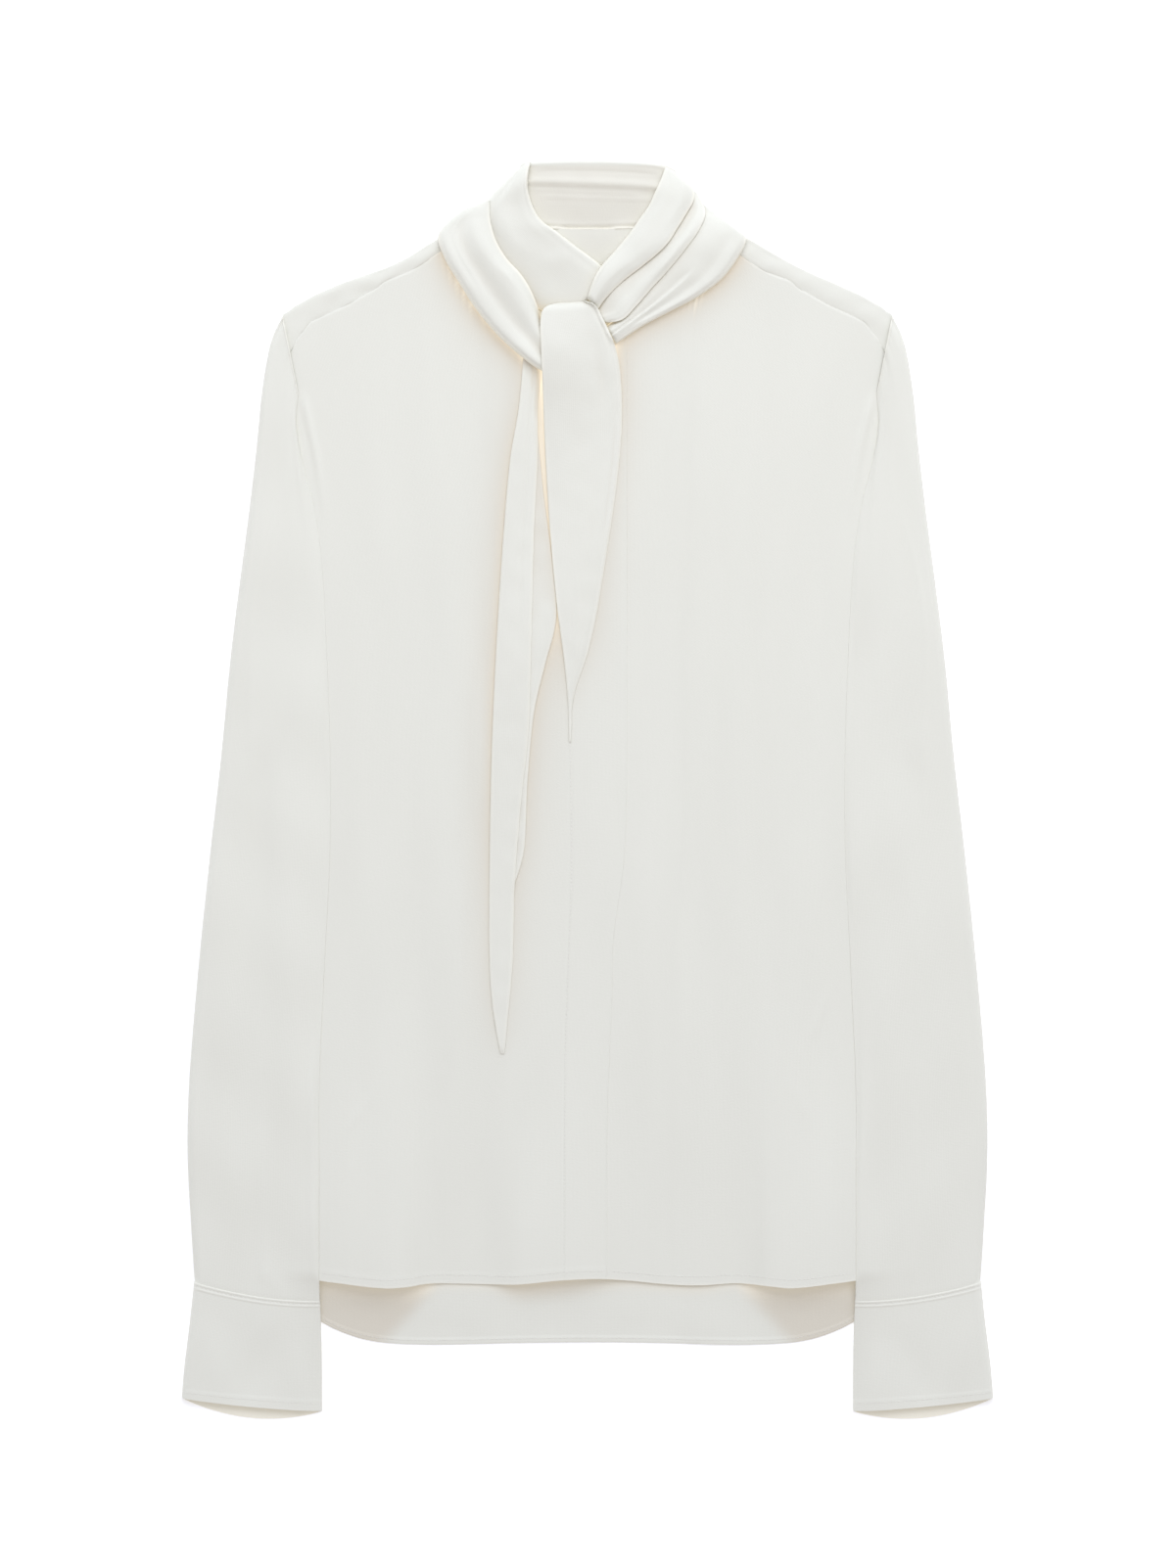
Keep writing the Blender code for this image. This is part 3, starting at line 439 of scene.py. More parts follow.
def curve(rows: Sequence[NamedTuple], key: str, value: str) -> Curve:
    """One column of a table as a smooth function of another column, which only grows.

    Args:
        rows: the table.
        key: the column that only grows.
        value: the other one.

    Returns:
        The function.
    """
    keys = np.array([getattr(row, key) for row in rows])
    values = smooth_rows(np.array([[getattr(row, value)] for row in rows]))[:, 0]
    dense = np.interp(np.linspace(0, len(rows) - 1, len(values)), np.arange(len(rows)), keys)
    return lambda at: np.interp(at, dense, values)


def edge_line(rows: Sequence[NamedTuple], x: str, y: str) -> Curve:
    """x as a function of y on the smooth curve through a table's points, from the top down."""
    dense = smooth_rows(np.array([[getattr(row, x), getattr(row, y)] for row in rows]))[::-1]
    return lambda at: np.interp(at, dense[:, 1], dense[:, 0])


def gaps(points: np.ndarray, axis: int = 0) -> np.ndarray:
    """Distances between neighbours along one axis of a line or grid of points."""
    return np.linalg.norm(np.diff(points, axis=axis), axis=-1)


def running(steps_between: np.ndarray) -> np.ndarray:
    """How far each point is from the first one."""
    return np.concatenate([[0.0], np.cumsum(steps_between)])


def strip(rows: Sequence[NamedTuple], count: int) -> tuple[np.ndarray, np.ndarray]:
    """Sections at even steps along a strip.

    Args:
        rows: sections whose first four columns are the two edges' places.
        count: how many sections come out.

    Returns:
        The sections, and how far along the strip each one is.
    """
    dense = smooth_rows(np.array(rows, float))
    far = running(gaps((dense[:, 0:2] + dense[:, 2:4]) / 2))
    at = np.linspace(0, far[-1], count)
    return np.stack([np.interp(at, far, column) for column in dense.T], axis=1), at


def bell(distance: np.ndarray, spread: float | np.ndarray) -> np.ndarray:
    """1 at no distance, and next to nothing beyond twice the spread."""
    return np.exp(-((distance / spread) ** 2))


def row_at(marks: np.ndarray, distance: float) -> float:
    """The place between rows, which lie at those marks, that is at a distance."""
    return float(np.interp(distance, marks, np.arange(len(marks))))


def ease(share: np.ndarray) -> np.ndarray:
    """0 up to 0, 1 from 1 on, and smooth between."""
    share = np.clip(share, 0, 1)
    return share * share * (3 - 2 * share)


def quarter_round(distance: np.ndarray, radius: float | np.ndarray) -> np.ndarray:
    """Height of a rounded edge, as a share of its full height, that far in from it."""
    share = np.clip(distance / np.maximum(radius, 1e-6), 0, 1)
    return np.sqrt(1 - (1 - share) ** 2)


def steps(*runs: tuple[float, float]) -> np.ndarray:
    """Distances from 0 on, in runs of even steps.

    Args:
        runs: where each run ends, and its step.

    Returns:
        The distances, of which the last is the last run's end.
    """
    marks = [0.0]
    for end, step in runs:
        start = marks[-1]
        count = max(1, round((end - start) / step))
        marks += [start + (end - start) * (k + 1) / count for k in range(count)]
    return np.array(marks)


def shares_across(count: int) -> np.ndarray:
    """Shares from 0 to 1, closer together towards both ends."""
    return (1 - np.cos(np.linspace(0, math.pi, count))) / 2


def from_edge(shares: np.ndarray, width: np.ndarray) -> np.ndarray:
    """How far places across are from the nearer edge."""
    return np.minimum(shares, 1 - shares) * width


def folds_at(folds: Sequence[Fold], x: np.ndarray, y: np.ndarray) -> np.ndarray:
    """Height of all the folds at x, y.

    Args:
        folds: the folds.
        x: places.
        y: places.

    Returns:
        The height at each place.
    """
    height = np.zeros(np.broadcast(x, y).shape)
    for fold in folds:
        share = np.clip((fold.top_y - y) / (fold.top_y - fold.low_y), 0, 1)
        middle = fold.top_x + (fold.low_x - fold.top_x) * share + fold.bow * np.sin(math.pi * share)
        before, after = share / fold.start, (share - fold.start) / (1 - fold.start)
        life = np.where(share < fold.start, 0.5 * before, 0.5 + 0.5 * after)
        height += fold.height * np.sin(math.pi * life) ** 1.5 * bell(x - middle, fold.spread)
    return height


def ripples(x: np.ndarray, y: np.ndarray, length: float, seed: int, stretch: float = 1.0) -> np.ndarray:
    """Soft uneven waves, about 1 high, as cloth keeps them after it is smoothed down by hand.

    Args:
        x: places.
        y: places.
        length: the waves' usual length.
        seed: picks the waves.
        stretch: over 1, the waves are that much longer along Y than along X.

    Returns:
        The height at each place.
    """
    rng = np.random.default_rng(seed)
    height = np.zeros(np.broadcast(x, y).shape)
    count = 14
    for _ in range(count):
        angle, phase = rng.uniform(0, 2 * math.pi, 2)
        turn = 2 * math.pi / (length * rng.uniform(0.7, 1.6))
        height += np.sin(turn * (x * math.cos(angle) + y * math.sin(angle) / stretch) + phase)
    return height / math.sqrt(count / 2)


def blur(grid: np.ndarray, row_cells: float, column_cells: float) -> np.ndarray:
    """The grid smoothed with a bell of those widths, in cells.

    Args:
        grid: rows and columns of values.
        row_cells: the bell's width over the rows.
        column_cells: the same over the columns.

    Returns:
        The smooth grid.
    """
    for axis, cells in ((0, row_cells), (1, column_cells)):
        half = int(math.ceil(2.5 * cells))
        if half < 1 or cells < 0.3:
            continue
        weights = bell(np.arange(-half, half + 1), 1.414 * cells)
        weights /= weights.sum()
        width = [(half, half) if k == axis else (0, 0) for k in (0, 1)]
        wide, size = np.pad(grid, width, mode="edge"), grid.shape[axis]
        grid = sum(w * np.take(wide, range(k, k + size), axis) for k, w in enumerate(weights))
    return grid


def draped(floors: np.ndarray, row_cells: float, column_cells: float) -> np.ndarray:
    """Heights of cloth that hangs over its floors: smooth over that many cells, and nowhere below them.

    Args:
        floors: lowest heights, as rows and columns.
        row_cells: how many rows it is smooth over.
        column_cells: how many columns.

    Returns:
        The height at each of them.
    """
    heights = floors
    for share in (1.0, 0.6, 0.35, 0.2):
        heights = np.maximum(floors, blur(heights, row_cells * share, column_cells * share))
    return np.maximum(floors, blur(heights, row_cells * 0.12, column_cells * 0.12))


def spanned(floors: np.ndarray, row_cells: float, column_cells: float) -> np.ndarray:
    """Heights of stiffer cloth, which bridges its floors without their small steps.

    Args:
        floors: lowest heights, as rows and columns.
        row_cells: how many rows it is smooth over.
        column_cells: how many columns.

    Returns:
        The height at each of them.
    """
    heights = draped(floors, row_cells, column_cells)
    for _ in range(3):
        smooth = blur(heights, row_cells * 0.4, column_cells * 0.4)
        heights = smooth + 2.0 * blur(np.maximum(floors - smooth, 0), row_cells * 0.4, column_cells * 0.4)
    return np.maximum(heights, floors - 3 * SILK)


class Pile:
    """Heights of the pieces laid down so far, on a raster. The next piece rests on them."""

    STEP = 1.0
    CLOSER = 0.7  # a piece's points are laid at least that much closer than the raster's step
    LEFT, LOW, RIGHT, TOP = -262.0, -402.0, 262.0, 402.0

    def __init__(self) -> None:
        """An empty table top."""
        rows, columns = (self.TOP - self.LOW) / self.STEP, (self.RIGHT - self.LEFT) / self.STEP
        self.top = np.zeros((int(rows), int(columns)))

    def lay(self, points: np.ndarray) -> None:
        """Adds the upper side of one layer of cloth, whose middle is a grid of points.

        Args:
            points: rows and columns of points.
        """
        points = points + [0, 0, HALF_SILK]
        for axis in (0, 1):
            parts = max(1, math.ceil(gaps(points[..., :2], axis).max() / (self.CLOSER * self.STEP)))
            size = points.shape[axis]
            at = np.linspace(0, size - 1, (size - 1) * parts + 1)
            low = np.minimum(at.astype(int), size - 2)
            share = (at - low).reshape([-1 if k == axis else 1 for k in range(3)])
            points = np.take(points, low, axis) * (1 - share) + np.take(points, low + 1, axis) * share
        column = np.rint((points[..., 0] - self.LEFT) / self.STEP).astype(int)
        row = np.rint((points[..., 1] - self.LOW) / self.STEP).astype(int)
        np.maximum.at(self.top, (row, column), points[..., 2])

    def floor(self, x: np.ndarray, y: np.ndarray, reach_x: float, reach_y: float) -> np.ndarray:
        """Lowest places for cloth.

        Args:
            x: places.
            y: places.
            reach_x: how far away, across, it feels the pieces below.
            reach_y: the same up and down.

        Returns:
            For each place a gap above the highest point within reach, or 0 on the table.
        """
        wide, high = math.ceil(reach_x / self.STEP) + 1, math.ceil(reach_y / self.STEP) + 1
        column, row = (x - self.LEFT) / self.STEP, (y - self.LOW) / self.STEP
        c0, r0 = int(column.min()) - 1, int(row.min()) - 1
        c1, r1 = int(column.max()) + 3, int(row.max()) + 3
        best = np.zeros((r1 - r0, c1 - c0))
        for down in range(-high + 1, high):
            for over in range(-wide + 1, wide):
                if (over / (wide - 0.5)) ** 2 + (down / (high - 0.5)) ** 2 <= 1:
                    rows = np.clip(np.arange(r0 + down, r1 + down), 0, self.top.shape[0] - 1)
                    columns = np.clip(np.arange(c0 + over, c1 + over), 0, self.top.shape[1] - 1)
                    best = np.maximum(best, self.top[np.ix_(rows, columns)])
        i, j = row.astype(int) - r0, column.astype(int) - c0
        u, v = row - row.astype(int), column - column.astype(int)
        level = (
            best[i, j] * (1 - u) * (1 - v) + best[i + 1, j] * u * (1 - v)
            + best[i, j + 1] * (1 - u) * v + best[i + 1, j + 1] * u * v
        )
        return np.where(level > 0, level + GAP, 0.0)

    def at(self, grid: np.ndarray, x: np.ndarray, y: np.ndarray) -> np.ndarray:
        """Values of a raster like this one at x, y."""
        row, column = (y - self.LOW) / self.STEP, (x - self.LEFT) / self.STEP
        return sample(grid[..., None], row, column)[:, 0]


PILE = Pile()


# ---------------------------------------------------------------- finishes


def linear(colour: str) -> tuple[float, float, float, float]:
    """An sRGB hex colour as linear red, green, blue and 1."""
    parts = [int(colour[k : k + 2], 16) / 255 for k in (1, 3, 5)]
    return (*[p / 12.92 if p <= 0.04045 else ((p + 0.055) / 1.055) ** 2.4 for p in parts], 1.0)


def add_node(tree: bpy.types.NodeTree, kind: str, settings: dict, links: dict) -> bpy.types.Node:
    """Adds a node to a tree.

    Args:
        tree: the tree.
        kind: the node's type, without "ShaderNode".
        settings: values by the name or number of an input, or by the name of a property.
        links: output sockets by the name or number of the input that they go to.

    Returns:
        The node.
    """
    node = tree.nodes.new(f"ShaderNode{kind}")
    for name, value in settings.items():
        if isinstance(name, str) and hasattr(node, name):
            setattr(node, name, value)
        else:
            node.inputs[name].default_value = value
    for name, socket in links.items():
        tree.links.new(socket, node.inputs[name])
    return node


def start_material(name: str) -> tuple[bpy.types.Material, bpy.types.NodeTree]:
    """A new material and its empty tree.

    Args:
        name: the material's name.

    Returns:
        Both of them.
    """
    material = bpy.data.materials.new(name)
    material.use_nodes = True
    material.node_tree.nodes.clear()
    return material, material.node_tree


def add_surface(tree: bpy.types.NodeTree, settings: dict, links: dict) -> None:
    """Adds a surface with those settings and links, as add_node takes them, and the tree's output."""
    shader = add_node(tree, "BsdfPrincipled", settings, links)
    add_node(tree, "OutputMaterial", {}, {0: shader.outputs[0]})


def mixed(
    tree: bpy.types.NodeTree, low: str, high: str, share: bpy.types.NodeSocket
) -> bpy.types.NodeSocket:
    """A colour between two, low where the share is 0 and high where it is 1.

    Args:
        tree: the tree that it is worked out in.
        low: an sRGB hex colour.
        high: another one.
        share: the socket that picks between them.

    Returns:
        The colour's socket.
    """
    colours = {"Color1": linear(low), "Color2": linear(high)}
    return add_node(tree, "MixRGB", colours, {"Fac": share}).outputs[0]


def place_on_cut(tree: bpy.types.NodeTree) -> bpy.types.NodeSocket:
    """Each point's place on the cloth's own cut, in millimetres.

    Args:
        tree: the material's tree.

    Returns:
        The place's socket.
    """
    cut = add_node(tree, "UVMap", {"uv_map": "cut"}, {})
    scaled = add_node(tree, "VectorMath", {"operation": "SCALE", "Scale": 1 / MM}, {0: cut.outputs[0]})
    return scaled.outputs[0]


WAVE = math.pi / 10  # length of the wave texture's bands at a scale of 1


@dataclass(frozen=True)
class SilkCrepe:
    """Ivory silk crepe, woven from tightly twisted yarn and degummed.

    The twist pulls the weave into short soft grains, so it scatters light like matt paper, with a low
    wide gloss and a pale down along its folds. Where other layers shut out the sky, shade is painted
    into its colour as a warm cream, and a painted glow is emitted there, standing in for the light that
    thin silk lets through. The real yarns are 0.25 mm apart. That is too fine to show, so the grain is
    drawn 1.1 mm long.
    """

    name: str = "silk_crepe"
    colour: str = "#e5e4d8"
    faded: str = "#e3e2d6"
    grain: float = 1.1
    yarn: float = 0.85
    ior: float = 1.54
    roughness: tuple[float, float] = (0.52, 0.64)
    sheen: float = 0.3
    relief: float = 0.05  # depth of the grain
    painted_shade_colour: str = "#d3c9b6"  # painted shade: the warm darker colour mixed in where other layers shut out the open sky
    glow: str = "#fff4dc"  # colour of the painted glow: emission that stands in for light come through a layer or two

    def build(self) -> bpy.types.Material:
        """Makes the material. Its pattern follows the cloth's cut, so it turns with each fold.

        Returns:
            The material.
        """
        material, tree = start_material(self.name)
        place = place_on_cut(tree)
        grain_size = (0.6 / self.grain, 1.25 / self.grain, 1.0)
        grains = add_node(tree, "Mapping", {"Scale": grain_size}, {"Vector": place})
        pebble = add_node(tree, "TexNoise", {"Scale": 1.0, "Detail": 2.0}, {"Vector": grains.outputs[0]})
        weave = {"Scale": WAVE / self.yarn, "Distortion": 0.6, "Detail": 1.0}
        bands = {
            k: add_node(tree, "TexWave", {"bands_direction": way, **weave}, {"Vector": place}).outputs[1]
            for k, way in enumerate("XY")
        }
        yarns = add_node(tree, "Math", {"operation": "MULTIPLY"}, bands)
        height = add_node(
            tree, "Math", {"operation": "MULTIPLY_ADD", 1: 0.45}, {0: yarns.outputs[0], 2: pebble.outputs[0]}
        )
        bump = add_node(
            tree, "Bump", {"Strength": 1.0, "Distance": self.relief * MM}, {"Height": height.outputs[0]}
        )
        streaks = add_node(tree, "Mapping", {"Scale": (1 / 24.0, 1 / 80.0, 1.0)}, {"Vector": place})
        cloud = add_node(tree, "TexNoise", {"Scale": 1.0, "Detail": 3.0}, {"Vector": streaks.outputs[0]})
        blend = add_node(
            tree, "Math", {"operation": "MULTIPLY_ADD", 1: 0.8}, {0: pebble.outputs[0], 2: cloud.outputs[0]}
        )
        tone = add_node(tree, "MapRange", {"From Min": 0.6, "From Max": 1.2}, {"Value": blend.outputs[0]})
        colour = mixed(tree, self.colour, self.faded, tone.outputs[0])
        # painted shade and painted glow: a warm darker colour mixed in, and an emission, by the pieces'
        # attributes
        painted_shade_amount = add_node(tree, "Attribute", {"attribute_name": PAINTED_SHADE_KEY}, {})
        painted_glow_node = add_node(tree, "Attribute", {"attribute_name": PAINTED_GLOW_KEY}, {})
        colour_with_painted_shade = add_node(
            tree, "MixRGB", {"Color2": linear(self.painted_shade_colour)},
            {"Fac": painted_shade_amount.outputs["Fac"], "Color1": colour},
        )
        gloss = add_node(
            tree, "MapRange", {"To Min": self.roughness[0], "To Max": self.roughness[1]},
            {"Value": pebble.outputs[0]},
        )
        add_surface(
            tree,
            {
                "IOR": self.ior,
                "Sheen Weight": self.sheen,
                "Sheen Roughness": 0.5,
                "Emission Color": linear(self.glow),
            },
            {
                "Base Color": colour_with_painted_shade.outputs[0],
                "Emission Strength": painted_glow_node.outputs["Fac"],
                "Roughness": gloss.outputs[0],
                "Normal": bump.outputs[0],
            },
        )
        return material


@dataclass(frozen=True)
class SilkThread:
    """Three-ply silk sewing thread, dyed to match. Its twist shows as slanting glints, 0.5 mm apart, with
    painted shade darkening the grooves between its plies.
    """

    name: str = "silk_thread"
    colour: str = "#e6e4dc"
    # painted shade: the darker colour in the grooves of the twist
    painted_groove_shade: str = "#d5d1c4"
    twist: float = 0.5
    ior: float = 1.54
    roughness: float = 0.42

    def build(self) -> bpy.types.Material:
        """Makes the material.

        Returns:
            The material.
        """
        material, tree = start_material(self.name)
        twist = {"bands_direction": "DIAGONAL", "Scale": WAVE / self.twist, "Distortion": 0.4}
        ply = add_node(tree, "TexWave", twist, {"Vector": place_on_cut(tree)}).outputs[1]
        bump = add_node(tree, "Bump", {"Strength": 0.5, "Distance": 0.05 * MM}, {"Height": ply})
        add_surface(
            tree, {"IOR": self.ior, "Roughness": self.roughness, "Sheen Weight": 0.1},
            {"Base Color": mixed(tree, self.painted_groove_shade, self.colour, ply), "Normal": bump.outputs[0]},
        )
        return material


@dataclass(frozen=True)
class LitFloor:
    """Matt white acrylic of a light table, with a faint mottle and a weak glow from below."""

    name: str = "light_table"
    colour: str = "#fefefe"
    mottle: str = "#fcfcfc"
    glow: float = 0.24

    def build(self) -> bpy.types.Material:
        """Makes the material.

        Returns:
            The material.
        """
        material, tree = start_material(self.name)
        place = add_node(tree, "TexCoord", {}, {})
        grain = {"Scale": 40.0, "Detail": 2.0}
        pulp = add_node(tree, "TexNoise", grain, {"Vector": place.outputs["Object"]})
        add_surface(
            tree,
            {
                "Roughness": 0.9,
                "Specular IOR Level": 0.2,
                "Emission Color": (1.0, 1.0, 1.0, 1.0),
                "Emission Strength": self.glow,
            },
            {"Base Color": mixed(tree, self.colour, self.mottle, pulp.outputs[0])},
        )
        return material


# ---------------------------------------------------------------- cloth meshes


def mesh_from(name: str, points: np.ndarray, quads: np.ndarray, uv: np.ndarray) -> bpy.types.Object:
    """A closed mesh, wound outwards, as an object of the scene.

    Args:
        name: the object's name.
        points: the points, in millimetres.
        quads: four point numbers for each face.
        uv: the cloth's own coordinates in metres, for each corner of each face.

    Returns:
        The object.
    """
    a, b, c, d = (points[quads[:, k]] for k in range(4))
    volume = (a * np.cross(b, c)).sum() + (a * np.cross(c, d)).sum()
    if volume < 0:
        quads, uv = quads[:, ::-1], uv[:, ::-1]
    mesh = bpy.data.meshes.new(name)
    mesh.vertices.add(len(points))
    mesh.vertices.foreach_set("co", (points * MM).astype(np.float32).ravel())
    mesh.loops.add(quads.size)
    mesh.loops.foreach_set("vertex_index", quads.astype(np.int32).ravel())
    mesh.polygons.add(len(quads))
    mesh.polygons.foreach_set("loop_start", np.arange(0, quads.size, 4, dtype=np.int32))
    mesh.uv_layers.new(name="cut").data.foreach_set("uv", uv.astype(np.float32).ravel())
    mesh.update(calc_edges=True)
    mesh.validate()
    mesh.shade_smooth()
    mesh.set_sharp_from_angle(angle=math.radians(70))
    piece = bpy.data.objects.new(name, mesh)
    bpy.context.scene.collection.objects.link(piece)
    return piece


def normals_of(points: np.ndarray, closed: bool) -> np.ndarray:
    """Unit normals of a grid of points.

    Args:
        points: the grid.
        closed: whether its last column joins its first.

    Returns:
        The normal at each point.
    """
    if closed:
        across = np.roll(points, -1, 1) - np.roll(points, 1, 1)
    else:
        across = np.gradient(points, axis=1)
    normals = np.cross(across, np.gradient(points, axis=0))
    return normals / np.maximum(np.linalg.norm(normals, axis=-1, keepdims=True), 1e-9)


def lengths(points: np.ndarray, axis: int) -> np.ndarray:
    """Usual distance of each row or column of a grid from the first."""
    return running(gaps(points, axis).mean(1 - axis))


def shell(
    name: str, points: np.ndarray, closed: bool = False, painted_shade_amount: np.ndarray | float = 0.0,
    glow: np.ndarray | float = 0.0,
) -> bpy.types.Object:
    """One layer of cloth on a grid of points, as a thin closed shell with its cut as UV map.

    Args:
        name: the object's name.
        points: the layer's middle, as rows and columns of points.
        closed: whether its last column joins the first, as round a sleeve.
        painted_shade_amount: painted shade at each point, by how far it is closed in.
        glow: painted glow at each point, an emission for light that comes through there.

    Returns:
        The object.
    """
    rows, columns = points.shape[:2]
    out = normals_of(points, closed) * HALF_SILK
    both = np.concatenate([(points + out).reshape(-1, 3), (points - out).reshape(-1, 3)])
    ring = np.concatenate([points, points[:, :1]], axis=1) if closed else points
    uv = np.stack(np.meshgrid(lengths(ring, 1), lengths(ring, 0)), axis=-1) * MM
    wide = columns + closed
    i, j = np.meshgrid(np.arange(rows - 1), np.arange(wide - 1), indexing="ij")
    corner = [(i, j), (i, j + 1), (i + 1, j + 1), (i + 1, j)]
    sheet = np.stack([a * columns + b % columns for a, b in corner], axis=-1).reshape(-1, 4)
    sheet_uv = np.stack([uv[a, b] for a, b in corner], axis=-2).reshape(-1, 4, 2)
    quads, uvs = [sheet, sheet[:, ::-1] + rows * columns], [sheet_uv, sheet_uv[:, ::-1]]
    border = [[(0, k) for k in range(wide)], [(rows - 1, k) for k in range(wide - 1, -1, -1)]]
    if not closed:
        border += [[(k, wide - 1) for k in range(rows)], [(k, 0) for k in range(rows - 1, -1, -1)]]
    for run in border:
        run = np.array(run)
        number = run[:, 0] * columns + run[:, 1] % columns
        start, end = number[:-1], number[1:]
        quads.append(np.stack([end, start, start + rows * columns, end + rows * columns], axis=-1))
        spot = uv[run[:, 0], run[:, 1]]
        uvs.append(np.stack([spot[1:], spot[:-1], spot[:-1], spot[1:]], axis=1))
    piece = mesh_from(name, both, np.concatenate(quads), np.concatenate(uvs))
    # the painted shade and painted glow go on every point of both sides
    for key, marks in ((PAINTED_SHADE_KEY, painted_shade_amount), (PAINTED_GLOW_KEY, glow)):
        values = np.tile(np.broadcast_to(marks, (rows, columns)).ravel(), 2).astype(np.float32)
        piece.data.attributes.new(key, "FLOAT", "POINT").data.foreach_set("value", values)
    return piece


def plan_area(points: np.ndarray) -> float:
    """Area of a grid of points seen from above, in square metres.

    Args:
        points: the grid, in millimetres.

    Returns:
        The area.
    """
    a = points[1:, 1:, :2] - points[:-1, :-1, :2]
    b = points[1:, :-1, :2] - points[:-1, 1:, :2]
    return float(np.abs(a[..., 0] * b[..., 1] - a[..., 1] * b[..., 0]).sum() / 2) * MM * MM


def sample(grid: np.ndarray, row: np.ndarray, column: np.ndarray) -> np.ndarray:
    """Values of a grid at places between its rows and columns.

    Args:
        grid: the grid.
        row: places between its rows.
        column: places between its columns.

    Returns:
        The value at each place.
    """
    i = np.clip(row.astype(int), 0, grid.shape[0] - 2)
    j = np.clip(column.astype(int), 0, grid.shape[1] - 2)
    u, v = (row - i)[:, None], (column - j)[:, None]
    return (grid[i, j] * (1 - v) + grid[i, j + 1] * v) * (1 - u) + (
        grid[i + 1, j] * (1 - v) + grid[i + 1, j + 1] * v
    ) * u


@dataclass
class Sewing:
    """Rows of machine stitches. Each row is one mesh of short rounded bars of thread."""

    finish: bpy.types.Material
    pitch: float = 2.5
    length: float = 1.8
    thread: float = 0.28
    rings: tuple[tuple[float, float, float], ...] = (  # shares: along its length, radius, height
        (-0.5, 0.35, -0.25), (-0.36, 1.0, 0.1), (0.36, 1.0, 0.1), (0.5, 0.35, -0.25),
    )
    sides: int = 6
    caps: tuple[tuple[int, ...], ...] = ((3, 2, 1, 0), (5, 4, 3, 0))  # corners of its two flat ends

    def on(
        self, name: str, points: np.ndarray, rows: np.ndarray | float, columns: np.ndarray
    ) -> bpy.types.Object:
        """Sews along a line on a piece.

        Args:
            name: what the row of stitches is called.
            points: the piece's grid.
            rows: places between its rows.
            columns: places between its columns.

        Returns:
            The stitches.
        """
        normals = normals_of(points, closed=False)
        normals *= np.sign(normals[..., 2:3])
        rows = np.broadcast_to(rows, columns.shape)
        line, up = sample(points, rows, columns), sample(normals, rows, columns)
        return self.run(f"stitches_{name}", line + up * HALF_SILK, up)

    def run(self, name: str, line: np.ndarray, up: np.ndarray) -> bpy.types.Object:
        """Makes a row of stitches.

        Args:
            name: the object's name.
            line: points on the cloth's surface.
            up: the surface's unit normal at each point.

        Returns:
            The stitches.
        """
        far = running(gaps(line))
        at = np.arange(self.pitch, far[-1] - self.pitch, self.pitch)
        middle, normal, ahead, behind = (
            np.stack([np.interp(at + shift, far, c) for c in source.T], axis=1)
            for source, shift in ((line, 0.0), (up, 0.0), (line, 0.6), (line, -0.6))
        )
        along = ahead - behind
        along /= np.linalg.norm(along, axis=1, keepdims=True)
        side = np.cross(along, normal)
        points = []
        for place, size, height in self.rings:
            rise = self.thread * height
            radius = self.thread / 2 * size
            for k in range(self.sides):
                angle = 2 * math.pi * k / self.sides
                points.append(
                    middle + along * self.length * place
                    + side * radius * math.cos(angle) + normal * (radius * math.sin(angle) + rise)
                )
        points = np.stack(points, axis=1)
        quads, uv = [], []
        for ring in range(len(self.rings) - 1):
            for k in range(self.sides):
                here, beside = ring * self.sides + k, ring * self.sides + (k + 1) % self.sides
                quads.append([here, beside, beside + self.sides, here + self.sides])
                uv.append([(k, ring), (k + 1, ring), (k + 1, ring + 1), (k, ring + 1)])
        for base, way in ((0, 1), ((len(self.rings) - 1) * self.sides, -1)):
            for cap in self.caps:
                quads.append([base + k for k in cap[::way]])
                uv.append([(0, 0), (1, 0), (1, 1), (0, 1)])
        count = len(at)
        numbers = np.array(quads)[None] + (np.arange(count) * points.shape[1])[:, None, None]
        corners = np.tile(np.array(uv, float)[None] * 0.15 * MM, (count, 1, 1, 1))
        row = mesh_from(name, points.reshape(-1, 3), numbers.reshape(-1, 4), corners.reshape(-1, 4, 2))
        row.data.materials.append(self.finish)
        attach(row, BODY)
        log.info("%s: %d stitches", name, count)
        return row


@dataclass
class Cloth:
    """What every sewn piece has: its finish and the sewing for its stitches."""

    finish: bpy.types.Material
    sewing: Sewing

    def dress(
        self, piece: bpy.types.Object, node: str, flat: tuple[float, float], area: float,
        rests_on: Sequence[str], held: str = "laid", sewn: Sequence[bpy.types.Object] = (),
    ) -> None:
        """Gives a piece its finish and its place in the frame, and hides the part that it stands for.

        Args:
            piece: the object.
            node: the node that it stands for.
            flat: width and length of the cut, in millimetres. Not used.
            area: the cut's area, in square metres. Not used.
            rests_on: the pieces under it. Not used.
            held: how it lies. Not used.
            sewn: its stitches. Not used.
        """
        piece.data.materials.append(self.finish)
        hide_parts(node)
        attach(piece, BODY)


# ---------------------------------------------------------------- panels


SIDE_X = curve(BODY_SIDE, "y", "half_width")
SLEEVE_X = edge_line(SLEEVE, "inner_x", "inner_y")
ARMHOLE = SLEEVE[0]  # a straight line from the shoulder point to the underarm
HEM_Y = curve(FRONT_HEM, "x", "y")
HEM_LIFT = curve(FRONT_HEM, "x", "lift")
SEAM_Y = curve(SHOULDER_SEAM, "half_width", "y")
FOLD_Y = curve(SHOULDER_FOLD, "half_width", "y")
BACK_HEM_Y = curve(BACK_HEM, "half_width", "y")
PLACKET_X = curve(PLACKET_EDGE, "y", "x")
STITCH_X = curve(PLACKET_STITCHES, "y", "x")
NECK_HALF_WIDTH = 72.0
SHOULDER_HALF_WIDTH = 189.9
SHOULDER_SKEW = 2.4  # the left shoulder lies this much higher than its table says, the right one lower
